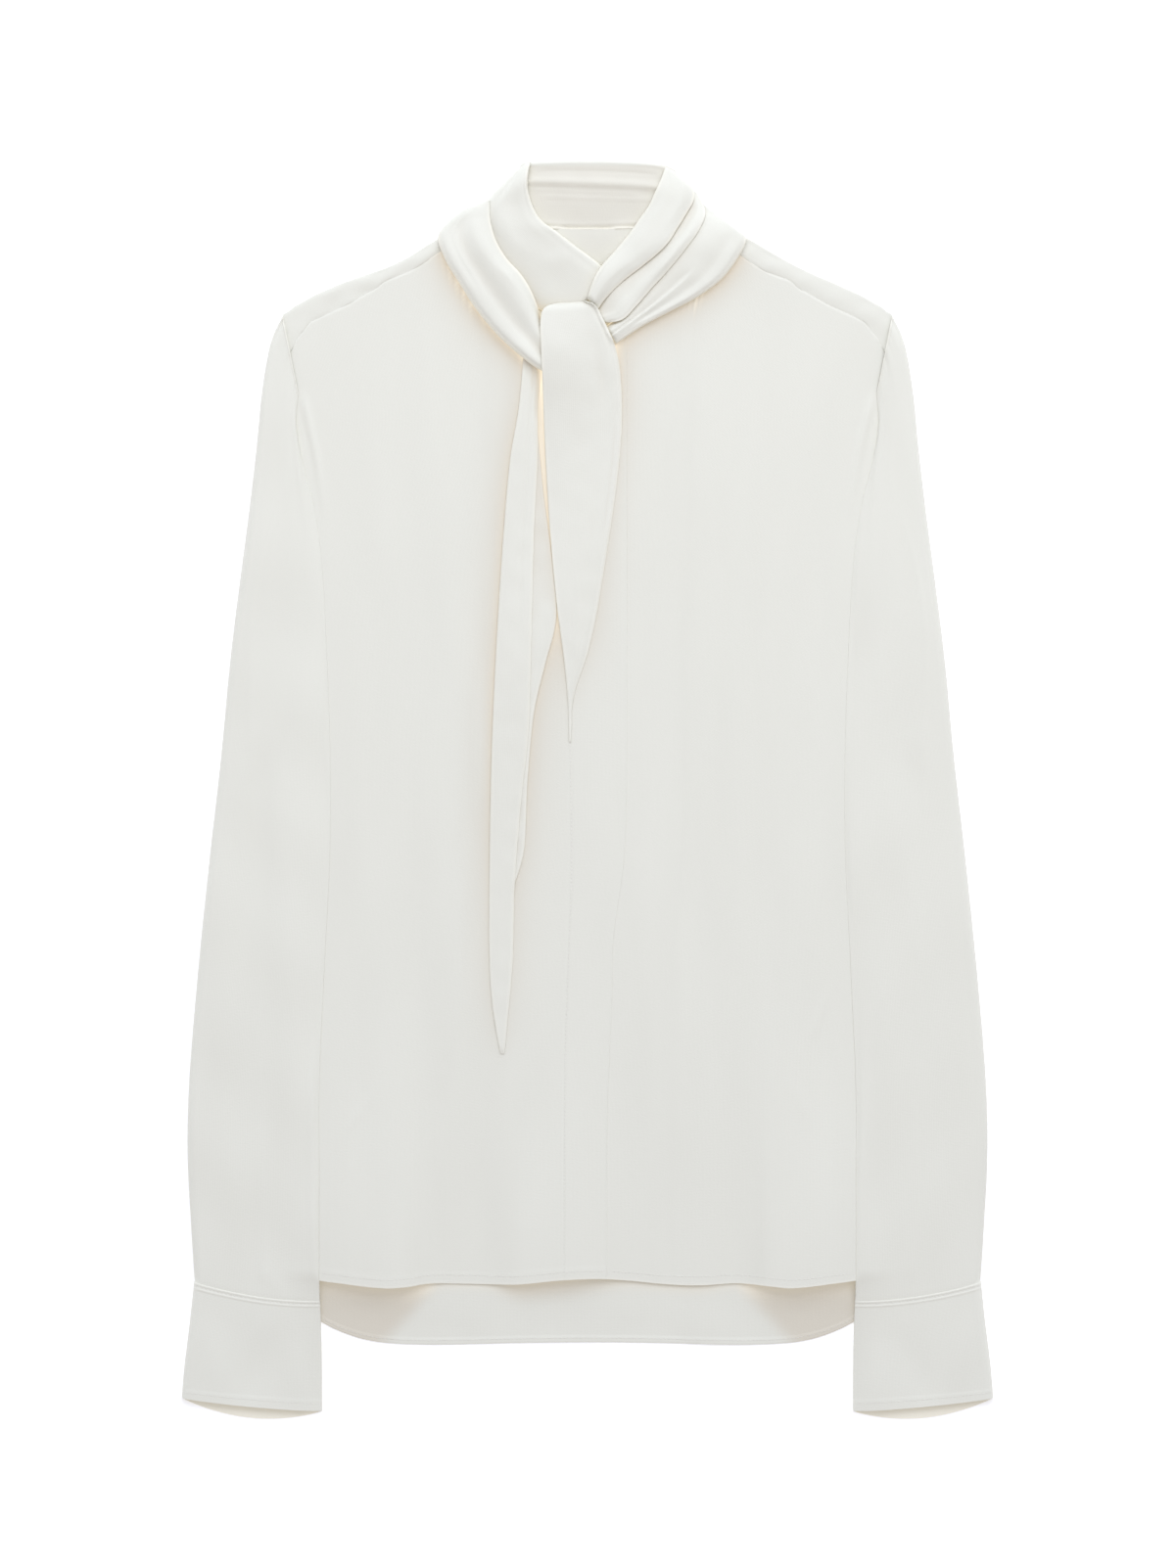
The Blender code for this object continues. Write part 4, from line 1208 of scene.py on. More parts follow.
SHOULDER_ROLL = 0.8  # radius of the turn from the back to the front
FRONT_LEVEL = SILK / 2 + 2 * SHOULDER_ROLL  # middle of the cloth at the shoulder seam
SEAM_DIP = 0.1  # a seam lies this much lower than the cloth beside it
SEAM_SPREAD = 0.7
UNDERLAP = 0.7  # a panel goes on at least this far under the sleeve
TUCK = 0.8  # a panel comes down by this where another one laps over it
SNUG = 0.12  # and does so within this much of the lap
LONG_ROW, SHORT_ROW = 400, 300  # points that a row of stitches follows


def fold_y(x: np.ndarray) -> np.ndarray:
    """Where the back turns over each shoulder. The left one lies a little higher."""
    return FOLD_Y(np.abs(x)) + SHOULDER_SKEW * np.sign(x) * bell(np.abs(x) - 110.0, 26.0)


def tuck_x(y: np.ndarray) -> np.ndarray:
    """Where the sleeve's edge lies on the body, and above it the armhole.

    Args:
        y: places.

    Returns:
        x at each place.
    """
    up = (y - ARMHOLE.inner_y) / (ARMHOLE.outer_y - ARMHOLE.inner_y)
    armhole = ARMHOLE.inner_x + (ARMHOLE.outer_x - ARMHOLE.inner_x) * up
    return np.where(y > ARMHOLE.inner_y, armhole, SLEEVE_X(y))


def side_x(y: np.ndarray) -> np.ndarray:
    """The side seam, and above it the edge that the sleeve laps over."""
    return np.maximum(SIDE_X(y), tuck_x(y) + UNDERLAP)


def column_at(points: np.ndarray, rows: np.ndarray, line: Curve) -> np.ndarray:
    """Where an upright line crosses rows of a grid.

    Args:
        points: the grid.
        rows: places between its rows.
        line: the line's x at each y.

    Returns:
        For each row, a place between its columns.
    """
    numbers = np.arange(points.shape[1], dtype=float)
    found = []
    for row in rows:
        x, y = sample(points, np.full(len(numbers), row), numbers)[:, :2].T
        order = np.argsort(x)
        found.append(np.interp(line(y.mean()), x[order], numbers[order]))
    return np.array(found)


def meets(line: Curve, x_of: Curve, columns: int, start: float, rounds: int = 12) -> np.ndarray:
    """Where the columns of a panel meet a line across them.

    Args:
        line: the line's y at each x.
        x_of: the columns' x at each y.
        columns: how many there are.
        start: y of a place near the line.
        rounds: how often the meeting place is worked out anew.

    Returns:
        y where each column meets it.
    """
    y = np.full(columns, start)
    for _ in range(rounds):
        y = line(x_of(y))
    return y


def hem_relief(from_hem: np.ndarray, width: float, fade: float, start: float) -> np.ndarray:
    """Relief of a hem's folded layers, as a share of their height.

    Args:
        from_hem: how far up from the panel's edge each place is.
        width: of the hem.
        fade: over how much it ends above that.
        start: how high it is at the very edge, before it is eased.

    Returns:
        The share at each place.
    """
    return (1 - ease((from_hem - width) / fade)) * ease(from_hem / 0.5 + start)


@dataclass
class BackPanel(Cloth):
    """The back. It turns over the shoulder folds and ends at the seams on the front."""

    neck_y: float = 349.2
    neck_corner_y: float = 355.0
    width: float = 422.0
    length: float = 700.0
    neck_columns: int = 22
    shoulder_columns: int = 34
    hem_width: float = 3.4
    hem_rise: float = 0.2
    ripple: float = 0.35
    ripple_reach: float = 60.0  # how far up from the hem it has ripples
    neck_rise: float = 3.6  # it slopes up to the collar by this
    neck_slope: float = 34.0  # over this length
    neck_spread: float = 62.0  # and this far to each side
    straighten_from: float = 0.9  # share of the height above which rows bend to the shoulder's line
    turn_swell: float = 0.4  # the turned strips stand up by this between fold and seam
    turn_ripple: float = 0.18
    painted_neck_shade: float = 0.14  # painted shade: how far the collar closes in what shows inside the neck
    painted_hem_shadow: float = 0.66  # painted shadow: how far the front's hem closes it in
    hem_glow: float = 0.36  # painted glow: emission for light that comes through the front there
    painted_hem_glow_reach: float = 8.0
    painted_shadow_share: float = 1.7  # the painted shadow reaches down to this share of the hem's lift below it
    painted_shadow_from: float = 91.0  # and from here out, to each side, down to the back's own hem

    def build(self) -> None:
        """Builds the back with the two shoulder turns, hems it and sews the hem."""
        neck = NECK_HALF_WIDTH / SHOULDER_HALF_WIDTH
        half = np.concatenate([
            np.linspace(0, neck, self.neck_columns)[:-1], np.linspace(neck, 1, self.shoulder_columns),
        ])
        shares = np.concatenate([-half[:0:-1], half])
        size, sign = np.abs(shares), np.sign(shares)
        marks = steps((1.0, 0.4), (5.0, 0.65), (46.0, 3.0), (640.0, 5.5), (self.length, 2.6))
        up = (marks / self.length)[:, None]

        fold_x = size * SHOULDER_HALF_WIDTH
        out = np.clip((size - neck) / (1 - neck), 0, 1)
        seam_x = NECK_HALF_WIDTH + (SHOULDER_SEAM[-1].half_width - NECK_HALF_WIDTH) * out
        fold = np.stack([sign * fold_x, fold_y(sign * fold_x)], axis=1)
        seam = np.stack([sign * seam_x, SEAM_Y(seam_x)], axis=1)
        inward = (seam - fold) / np.linalg.norm(seam - fold, axis=1, keepdims=True)
        turned = size >= neck - 1e-9
        neck_y = self.neck_y + (self.neck_corner_y - self.neck_y) * (fold_x / NECK_HALF_WIDTH) ** 2
        neckline = np.stack([fold[:, 0], neck_y], axis=1)
        top = np.where(turned[:, None], fold + inward * SHOULDER_ROLL, neckline)

        hem_y = meets(
            lambda x: BACK_HEM_Y(np.abs(x)), lambda y: shares * side_x(y), len(shares), start=-340.0
        )
        y = hem_y + (top[:, 1] - hem_y) * up
        straight = np.clip(up - self.straighten_from, 0, 1) / (1 - self.straighten_from)
        x = shares * side_x(y)
        x = x + (top[:, 0] - x) * straight
        from_hem = y - hem_y
        z = np.full(x.shape, HALF_SILK)
        z += self.hem_rise * hem_relief(from_hem, self.hem_width, 0.7, 0.4)
        z += self.ripple * np.clip(ripples(x, y, 70.0, 3), 0, None) * bell(from_hem, self.ripple_reach)
        z += self.neck_rise * ease((y - self.neck_y) / self.neck_slope + 1.0) * bell(x, self.neck_spread)
        points = np.stack([x, y, z], axis=-1)
        # painted shadow under the front's hem, painted glow just below it and painted shade inside the neck
        painted_shade_amount = self.painted_shadow_under_hem(x, y)
        glow = self.hem_glow * painted_shade_amount * bell(HEM_Y(x) - y, self.painted_hem_glow_reach)
        upper_half = y > 0  # of which only the neck's inside shows
        piece = shell("silk_back", points, painted_shade_amount=painted_shade_amount + self.painted_neck_shade * upper_half, glow=glow)
        PILE.lay(points)
        row, columns = row_at(marks, self.hem_width - 0.8), np.linspace(6, len(shares) - 7, LONG_ROW)
        hem = self.sewing.on("back_hem", points, row, columns)

        join(piece, [self.turn(side, top, inward, seam, sign, turned) for side in Side])
        self.dress(piece, "back", (self.width, self.length), plan_area(points), ["floor"], sewn=[hem])

    def painted_shadow_under_hem(self, x: np.ndarray, y: np.ndarray) -> np.ndarray:
        """Painted shadow that the front's lifted hem casts on the back at x, y.

        Args:
            x: places.
            y: places.

        Returns:
            The share at each place.
        """
        below = HEM_Y(x) - y
        depth = np.maximum(self.painted_shadow_share * HEM_LIFT(x), np.abs(x) - self.painted_shadow_from)
        return self.painted_hem_shadow * ease((depth - below) / 18.0 + 0.4) * (below > -20.0)

    def turn(
        self, side: Side, top: np.ndarray, inward: np.ndarray, seam: np.ndarray,
        sign: np.ndarray, turned: np.ndarray,
    ) -> bpy.types.Object:
        """The strip that turns over one shoulder.

        Args:
            side: which shoulder.
            top: where each column's lower layer ends.
            inward: each column's direction from the fold to the seam.
            seam: where each column ends at the seam.
            sign: which side each column is on.
            turned: which columns turn over.

        Returns:
            The strip, to be joined to the panel.
        """
        pick = turned & (sign * side.value > 0)
        start, way, end = top[pick], inward[pick], seam[pick]
        rows = []
        for angle in np.linspace(0, math.pi, 9):
            place = start - way * SHOULDER_ROLL * math.sin(angle)
            rise = SHOULDER_ROLL * (1 - math.cos(angle))
            rows.append(np.column_stack([place, np.full(len(place), rise)]))
        reach = np.linalg.norm(end - start, axis=1)
        for share in (0.08, 0.2, 0.35, 0.5, 0.65, 0.8, 0.9, 0.95, 0.985, 1.0):
            place = start + (end - start) * share
            swell = self.turn_swell * math.sin(math.pi * share) ** 0.8
            dip = SEAM_DIP * bell(reach * (1 - share), SEAM_SPREAD)
            uneven = self.turn_ripple * ripples(place[:, 0], place[:, 1], 16.0, 5)
            rise = 2 * SHOULDER_ROLL + swell - dip + uneven
            rows.append(np.column_stack([place, np.maximum(rise, 2 * SHOULDER_ROLL - SEAM_DIP)]))
        grid = np.stack(rows) + [0, 0, HALF_SILK]
        PILE.lay(grid[6:])
        return shell(f"turn_{side.word}", grid)


def join(piece: bpy.types.Object, others: Sequence[bpy.types.Object]) -> None:
    """Moves the others' meshes into the piece.

    Args:
        piece: what stays.
        others: what goes into it.
    """
    with bpy.context.temp_override(
        active_object=piece, object=piece, selected_objects=[piece, *others],
        selected_editable_objects=[piece, *others],
    ):
        bpy.ops.object.join()


@dataclass
class FrontPanel(Cloth):
    """One front, from its edge at the placket to the side seam and armhole."""

    side: Side = Side.LEFT
    underlap_x: float = -13.0  # hidden edge of the under front
    neck_y: float = 285.0
    hem_width: float = 6.5
    hem_rise: float = 0.07
    hem_reach: float = 110.0  # how far up the hem's ripples run
    seam_reach: float = 22.0  # how far below the shoulder seam the front comes down
    band_rise: float = 0.15  # the placket's folded layers
    rest: float = 1.15  # how far the front stands off the back where nothing lifts it
    calm: float = 0.75  # share of the folds' height that the hem's own ripples take the place of
    long_ripple: float = 0.28
    short_ripple: float = 0.05
    corner: float = 6.0  # the shoulder seam takes hold this far to both sides of its start at the neck
    seam_swell: float = 0.3  # near the shoulder seam the front stands up by this
    seam_dip: float = 0.2  # and at the seam it goes down by this more than the back
    slope_down: float = 0.8  # under the sleeve it comes down by this share, up to its side
    under_band: float = 0.15  # most that the under front rises below the placket
    stitch_dip: float = 0.12  # the placket's stitches pull it down by this
    edge_dip: float = 0.2  # and it is rounded off by this at its free edge
    length: float = 640.0
    flat: tuple[float, float] = (230.0, 655.0)
    allowance: float = 0.9  # how far it goes on under the shoulder seam
    painted_edge_glow: float = 0.04  # painted glow: emission along the hem's fold, since its folded layers look lighter than a single one

    def lines(self, y: np.ndarray) -> list[np.ndarray]:
        """Upright lines that the panel's columns follow, from its edge at the placket to its side.

        Args:
            y: places.

        Returns:
            x of each line at those places.
        """
        sign = self.side.value
        last = [sign * tuck_x(y), sign * side_x(y)]
        if self.side is Side.RIGHT:
            return [PLACKET_X(y), *last]
        return [np.full(np.shape(y), self.underlap_x), PLACKET_X(y) + 0.03, *last]

    def columns(self) -> tuple[np.ndarray, np.ndarray]:
        """Spaces the columns between the upright lines, closely where a layer laps another.

        Returns:
            For each column the line that it comes after, and its share of the way to the next one.
        """
        fine = steps((0.15, 0.05), (0.6, 0.15), (1.5, 0.45), (3.0, 0.75))
        if self.side is Side.RIGHT:
            free = steps(
                (0.3, 0.1), (1.5, 0.4), (6.0, 1.5), (20.0, 2.4), (23.5, 1.0), (29.0, 0.5), (38.0, 1.5),
                (154.0, 3.0), (176.0, 1.0),
            )
            runs = [np.concatenate([free, 179.0 - fine[-2::-1]]) / 179.0]
        else:
            free = np.concatenate([fine, steps((118.0, 3.0), (140.0, 1.0))[1:] + 3.0, 146.0 - fine[-2::-1]])
            runs = [np.concatenate([np.linspace(0, 33.0, 13), 36.0 - fine[-2::-1]]) / 36.0, free / 146.0]
        runs.append(np.concatenate([fine, np.linspace(3.0, 44.0, 15)[1:]]) / 44.0)
        number = np.repeat(np.arange(len(runs)), [len(run) - 1 for run in runs])
        share = np.concatenate([run[:-1] for run in runs])
        return np.append(number, len(runs) - 1), np.append(share, 1.0)

    def top_y(self, x: np.ndarray) -> np.ndarray:
        """The panel's upper edge: the neckline, then its seam allowance under the shoulder seam.

        Args:
            x: places.

        Returns:
            y at each place.
        """
        half = np.abs(x)
        corner = SHOULDER_SEAM[0].y + self.allowance
        arc = np.sqrt(np.clip(1 - (half / NECK_HALF_WIDTH) ** 2, 0, 1))
        neckline = corner - (corner - self.neck_y) * arc
        return np.where(half < NECK_HALF_WIDTH, neckline, SEAM_Y(half) + self.allowance)

    def build(self) -> None:
        """Builds the front with its hem and placket, and sews them."""
        number, share = self.columns()
        marks = steps(
            (1.0, 0.4), (8.0, 0.8), (self.length - 9.0, 2.9), (self.length - 3.0, 1.2),
            (self.length - 1.1, 0.4), (self.length - 0.7, 0.05), (self.length, 0.35),
        )
        up = (marks / self.length)[:, None]

        def x_of(y: np.ndarray) -> np.ndarray:
            """x of every column at y.

            Args:
                y: places, for every column.

            Returns:
                The x there.
            """
            lines = np.stack(self.lines(y))
            pick = np.broadcast_to(number, y.shape)[None]
            start, end = (np.take_along_axis(lines, pick + k, 0)[0] for k in (0, 1))
            return start + (end - start) * share

        hem_y = meets(HEM_Y, x_of, len(share), start=-305.0)
        top_y = meets(self.top_y, x_of, len(share), start=300.0)
        y = hem_y + (top_y - hem_y) * up
        x = x_of(y)
        z = SILK + GAP + HALF_SILK + self.lift(x, y, hem_y, top_y)
        rests_on = ["silk_back"]
        if self.side is Side.RIGHT:
            rests_on.append("silk_front_left")
            below = np.where(np.abs(x) < 50.0, PILE.floor(x - 1.5, y, 0.0, 0.0), 0.0)
            z = np.maximum(z, below + HALF_SILK - 0.05)
        points = np.stack([x, y, z], axis=-1)
        # painted glow along the hem's fold
        glow = self.painted_edge_glow * bell(y - hem_y - 0.4, 0.7)
        piece = shell(f"silk_front_{self.side.word}", points, glow=glow)
        PILE.lay(points)
        sewn = self.sew(points, marks)
        self.dress(
            piece, f"front_{self.side.word}", self.flat, plan_area(points), rests_on, sewn=sewn
        )

    def lift(self, x: np.ndarray, y: np.ndarray, hem_y: np.ndarray, top_y: np.ndarray) -> np.ndarray:
        """How far the front stands off the back.

        Args:
            x: places.
            y: places.
            hem_y: the hem below each column.
            top_y: the upper edge above each column.

        Returns:
            The height at each place.
        """
        from_hem, half = y - hem_y, np.abs(x)
        lift = self.rest + folds_at(FRONT_FOLDS, x, y)
        lift += (
            self.long_ripple * ripples(x, y, 80.0, 11, stretch=3.0)
            + self.short_ripple * ripples(x, y, 26.0, 12, stretch=5.0)
        )
        waves = bell(from_hem, self.hem_reach)
        lift = lift * (1 - self.calm * waves) + HEM_LIFT(x) * waves
        below_seam = top_y - self.allowance - y
        shoulder = ease((half - NECK_HALF_WIDTH + self.corner) / (2 * self.corner))
        meet = bell(below_seam, self.seam_reach) * shoulder
        lift = lift * (1 - meet) + (FRONT_LEVEL - SILK * 1.5 - GAP + self.seam_swell) * meet
        lift -= (SEAM_DIP + self.seam_dip) * bell(below_seam, SEAM_SPREAD) * shoulder
        lift -= TUCK * ease(0.2 - below_seam / SNUG) * shoulder
        lift = np.maximum(lift, 0.0)
        under_sleeve = ease((half - tuck_x(y) + 0.14) / SNUG)
        outward = ease((half - tuck_x(y)) / (side_x(y) - tuck_x(y)))
        slope = 1 - self.slope_down * outward * under_sleeve
        lift = np.maximum(lift * slope - TUCK * under_sleeve, 0.0)
        if self.side is Side.LEFT:
            under_placket = ease((PLACKET_X(y) + 0.16 - x) / SNUG)
            return lift * (1 - under_placket) + np.minimum(lift, self.under_band) * under_placket
        edge, stitched = PLACKET_X(y) - x, x - STITCH_X(y)
        lift += self.band_rise * ease(stitched / 1.6 + 0.5)
        lift -= self.stitch_dip * bell(stitched, 0.8)
        lift += self.hem_rise * hem_relief(from_hem, self.hem_width, 0.9, 0.3)
        return lift - self.edge_dip * (1 - quarter_round(edge + 0.02, 0.3))

    def sew(self, points: np.ndarray, marks: np.ndarray) -> list[bpy.types.Object]:
        """Sews the hem and, on the upper front, the placket's band.

        Args:
            points: the panel's grid.
            marks: how far up each row is.

        Returns:
            The rows of stitches.
        """
        word, row, start = self.side.word, np.array([row_at(marks, self.hem_width - 1.2)]), 0.0
        if self.side is Side.LEFT:
            start = column_at(points, row, lambda y: PLACKET_X(y) + 1.5)[0]
        end = column_at(points, row, lambda y: self.side.value * (tuck_x(y) - 1.0))[0]
        sewn = [self.sewing.on(f"hem_{word}", points, row, np.linspace(start + 1.0, end, LONG_ROW))]
        if self.side is Side.RIGHT:
            rows = np.linspace(1, points.shape[0] - 30, SHORT_ROW)
            sewn.append(self.sewing.on(f"placket_{word}", points, rows, column_at(points, rows, STITCH_X)))
        return sewn


# ---------------------------------------------------------------- sleeves and cuffs


CUFF_RIDGES = ((0.8, 0.3), (3.4, 0.25))  # its seam and its allowance's edge: how far down, how high


@dataclass
class Arm(Cloth):
    """A sleeve and its cuff: tubes flattened onto what lies below them, open at both ends."""

    side: Side = Side.LEFT
    sleeve_flat: tuple[float, float] = (168.0, 628.0)
    cuff_flat: tuple[float, float] = (180.0, 82.0)
    sleeve_sections: int = 196
    cuff_sections: int = 34
    upper_columns: int = 46
    lower_columns: int = 26
    outer_roll: float = 5.0  # how far in from its outer edge the sleeve becomes level
    inner_roll: float = 26.0  # the same from its inner edge, where it lies on the body
    fold: float = 0.16  # share of its height at the fold itself
    seam_rise: float = 0.35  # the armhole's allowances lift it by this just below its seam
    lower_drape: tuple[float, float] = (3.0, 0.6)  # how many sections and places it is smoothed over
    upper_drape: tuple[float, float] = (14.0, 3.0)
    inset: float = 2.2  # how far in from its edge it feels the body below
    fold_inset: float = 3.5  # folds and ripples die out this near an edge
    ripple: float = 0.25
    cuff_rise: float = 0.12  # the cuff's second layer lifts it by this, and its folded end again
    end_fold: float = 7.0  # how wide that fold is
    seam_drop: float = 3.2  # the cuff's seam bows down by this
    seam_reach: float = 34.0  # and the cloth to both sides of it follows, that far
    front_drop: float = 1.2  # the cuff's upper edge bows down by this
    back_drop: float = 8.5  # and its lower layer shows below it by this
    bow_power: float = 0.8
    top_stitches: float = 2.2  # how far down the cuff its upper stitches run
    end_stitches: float = 4.5  # and how far up from its end the lower ones
    painted_cuff_shade: float = 0.2  # painted shade: how far the cuff's upper layer closes in its lower one
    # painted glow inside the cuff: emission for light through its upper layer
    painted_cuff_glow: float = 0.85
    painted_seam_glow: float = 0.06  # painted glow: emission that makes the armhole's folded layers look lighter than a single one
    ridge_glow: float = 0.018  # painted glow: and the cuff's too

    def ring(
        self, sections: np.ndarray, drop: np.ndarray, shares: np.ndarray, held: np.ndarray
    ) -> np.ndarray:
        """Places across each section, with the bow of the cuff's seam and end.

        Args:
            sections: the two edges of each section.
            drop: how far each section bows down.
            shares: places across, from the outer edge to the inner one.
            held: the same, kept clear of an edge, for each section.

        Returns:
            x and y for each section and place.
        """
        outer, inner = sections[:, None, 0:2], sections[:, None, 2:4]
        place = outer + (inner - outer) * held[..., None]
        place[..., 1] -= drop[:, None] * np.sin(math.pi * shares)[None] ** self.bow_power
        return place

    def build(self) -> None:
        """Builds the sleeve, then the cuff, and sews the seam between them."""
        sleeve, down = strip(SLEEVE, self.sleeve_sections)
        cuff, along = strip(CUFF, self.cuff_sections)
        sections, first = np.concatenate([sleeve, cuff]), len(sleeve)
        end_bow = np.concatenate([np.zeros(first), (along / along[-1]) ** 3])
        seam_bow = self.seam_drop * bell(np.concatenate([down - down[-1], along]), self.seam_reach)
        fine_down = steps((4.0, 0.4), (down[-1], 3.1))
        fine_along = steps((6.0, 0.35), (along[-1] - 8.0, 2.6), (along[-1], 0.6))
        even = np.arange(len(sections))
        rows = np.concatenate([
            np.interp(fine_down, down, even[:first]), np.interp(fine_along, along, even[first:]),
        ])

        def at_rows(grid: np.ndarray) -> np.ndarray:
            """The grid at closer rows near the seams."""
            return np.stack([np.interp(rows, even, column) for column in grid.T], axis=1)

        upper, lower = shares_across(self.upper_columns), shares_across(self.lower_columns + 2)
        sign = self.side.value
        width = np.linalg.norm(sections[:, 0:2] - sections[:, 2:4], axis=1)[:, None]
        floors = []
        for shares in (lower, upper):
            held = np.minimum(shares[None], 1 - self.inset / width)
            spot = self.ring(sections, seam_bow + self.back_drop * end_bow, shares, held)
            spot[0] = (spot[0] + spot[1]) / 2  # just past the armhole, where the front is tucked under
            floors.append(PILE.floor(sign * spot[..., 0], spot[..., 1], 0.0, 0.0))
        lows = at_rows(draped(floors[0], *self.lower_drape))
        highs = at_rows(draped(floors[1], *self.upper_drape)) + 2 * SILK + GAP
        sections, width = at_rows(sections), at_rows(width)
        end_bow, seam_bow = at_rows(np.stack([end_bow, seam_bow], axis=1)).T
        first = len(fine_down)

        from_seam = np.concatenate([fine_down, down[-1] + fine_along])[:, None]
        highs += self.seam_rise * bell(from_seam - 1.0, 0.8)
        low_place = self.ring(sections, seam_bow + self.back_drop * end_bow, lower, lower[None])
        low_z = lows + HALF_SILK
        place = self.ring(sections, seam_bow + self.front_drop * end_bow, upper, upper[None])
        x, y = place[..., 0], place[..., 1]
        high_z = highs - HALF_SILK + sections[:, 4:5] * self.swell(upper, width)
        inside = ease(from_edge(upper, width) / self.fold_inset)
        high_z += (folds_at(SLEEVE_FOLDS, x, y) + folds_at(CUFF_FOLDS, x, y)) * inside
        high_z += self.ripple * ripples(x, y, 46.0, 21 + sign, stretch=2.2) * inside
        high_z += self.seams(fine_along, first)
        high_z = np.maximum(high_z, highs - HALF_SILK)
        high_z[:, [0, -1]] = low_z[:, [0, -1]] + self.fold * (high_z[:, [2, -3]] - low_z[:, [0, -1]])
        over, under = (
            np.concatenate([spot * [sign, 1], z[..., None]], axis=-1)
            for spot, z in ((place, high_z), (low_place, low_z))
        )
        under = under[:, -2:0:-1]
        self.finish_sleeve(over, under, fine_down)
        self.finish_cuff(over[first:], under[first:], fine_along)
        PILE.lay(under)
        PILE.lay(over)

    def finish_sleeve(self, over: np.ndarray, under: np.ndarray, down: np.ndarray) -> None:
        """Makes the sleeve, with its end tucked into the cuff.

        Args:
            over: the upper layer of sleeve and cuff, from the outer edge to the inner one.
            under: the lower layer, from the inner edge back.
            down: how far down each of the sleeve's sections is.
        """
        word, first = self.side.word, len(down)
        grid = np.concatenate([over, under], axis=1)
        tuck = self.tucked(grid[first - 1], grid[first], grid[first + 3])
        # painted glow along the armhole seam
        glow = np.append(self.painted_seam_glow * bell(down - 0.7, 0.8), np.zeros(len(tuck)))
        points = np.concatenate([grid[:first], tuck])
        piece = shell(f"silk_sleeve_{word}", points, closed=True, glow=glow[:, None])
        area = plan_area(over[:first]) + plan_area(under[:first])
        self.dress(piece, f"sleeve_{word}", self.sleeve_flat, area, ["floor", f"silk_front_{word}"])

    def finish_cuff(self, over: np.ndarray, under: np.ndarray, along: np.ndarray) -> None:
        """Makes the cuff and sews it.

        Args:
            over: its upper layer, from the outer edge to the inner one.
            under: its lower layer, from the inner edge back.
            along: how far down it each section is.
        """
        points = np.concatenate([over, under], axis=1)
        # painted shade and painted glow inside the cuff, and painted glow on its ridges
        painted_shade_amount = np.zeros(points.shape[:2])
        painted_shade_amount[:, self.upper_columns:] = self.painted_cuff_shade
        ridges = sum(bell(along - ridge, 0.6) for ridge, _ in CUFF_RIDGES)[:, None]
        glow = self.painted_cuff_glow * painted_shade_amount + self.ridge_glow * ridges
        piece = shell(f"silk_cuff_{self.side.word}", points, closed=True, painted_shade_amount=painted_shade_amount, glow=glow)
        sewn, area = self.sew(over), plan_area(over) + plan_area(under)
        self.dress(piece, f"cuff_{self.side.word}", self.cuff_flat, area, ["floor"], sewn=sewn)

    def tucked(self, end: np.ndarray, beside: np.ndarray, beyond: np.ndarray) -> np.ndarray:
        """Carries the sleeve's end on inside the cuff.

        Args:
            end: the sleeve's last section.
            beside: the cuff's first section.
            beyond: a section further down the cuff.

        Returns:
            Three more sections of the sleeve.
        """
        way = (beyond - beside) * [1, 1, 0]
        way /= np.linalg.norm(way, axis=1, keepdims=True)
        inward = np.where(np.arange(len(end)) < self.upper_columns, -1.0, 1.0)
        inward[[0, self.upper_columns - 1]] = 0.0
        rows = []
        for distance, drop in ((-0.05, 0.0), (0.1, 0.45), (1.0, 0.45)):
            row = beside + way * distance
            row[:, :2] += (row[:, :2].mean(0) - row[:, :2]) * 0.03 * drop
            row[:, 2] = end[:, 2] + inward * drop
            rows.append(row)
        return np.stack(rows)

    def swell(self, shares: np.ndarray, width: np.ndarray) -> np.ndarray:
        """How full the section is, from 0 at its edges to 1.

        Args:
            shares: places across, from the outer edge to the inner one.
            width: of each section.

        Returns:
            The fullness at each section and place.
        """
        outer, inner = shares * width, (1 - shares) * width
        inner_slope = 1 - (1 - np.clip(inner / self.inner_roll, 0, 1)) ** 2.2
        return quarter_round(outer, self.outer_roll) * inner_slope

    def seams(self, along: np.ndarray, first: int) -> np.ndarray:
        """Relief of the cuff's seam and folded end on the upper layer.

        Args:
            along: how far down the cuff each of its sections is.
            first: how many sections the sleeve has before them.

        Returns:
            A height for each section of both.
        """
        ridges = sum((height * bell(along - ridge, 0.7) for ridge, height in CUFF_RIDGES), self.cuff_rise)
        end = self.cuff_rise * ease((along - along[-1] + self.end_fold) / 1.2)
        return np.append(np.zeros(first), ridges + end)[:, None]

    def sew(self, upper: np.ndarray) -> list[bpy.types.Object]:
        """Sews along the top and the end of the cuff.

        Args:
            upper: grid of the cuff's upper layer.

        Returns:
            The rows of stitches.
        """
        far = lengths(upper, 0)
        columns = np.linspace(1, upper.shape[1] - 2, SHORT_ROW)
        return [
            self.sewing.on(f"cuff_{what}_{self.side.word}", upper, row_at(far, distance), columns)
            for what, distance in (("top", self.top_stitches), ("end", far[-1] - self.end_stitches))
        ]


# ---------------------------------------------------------------- collar, scarf and tie


PAINTED_INSIDE_SHADE = 0.3  # painted shade: how far the collar closes in its own back
INSIDE_TOP = 389.6  # up to its rim
FADE = 0.12  # share of a stretch's length over which a crease comes and goes


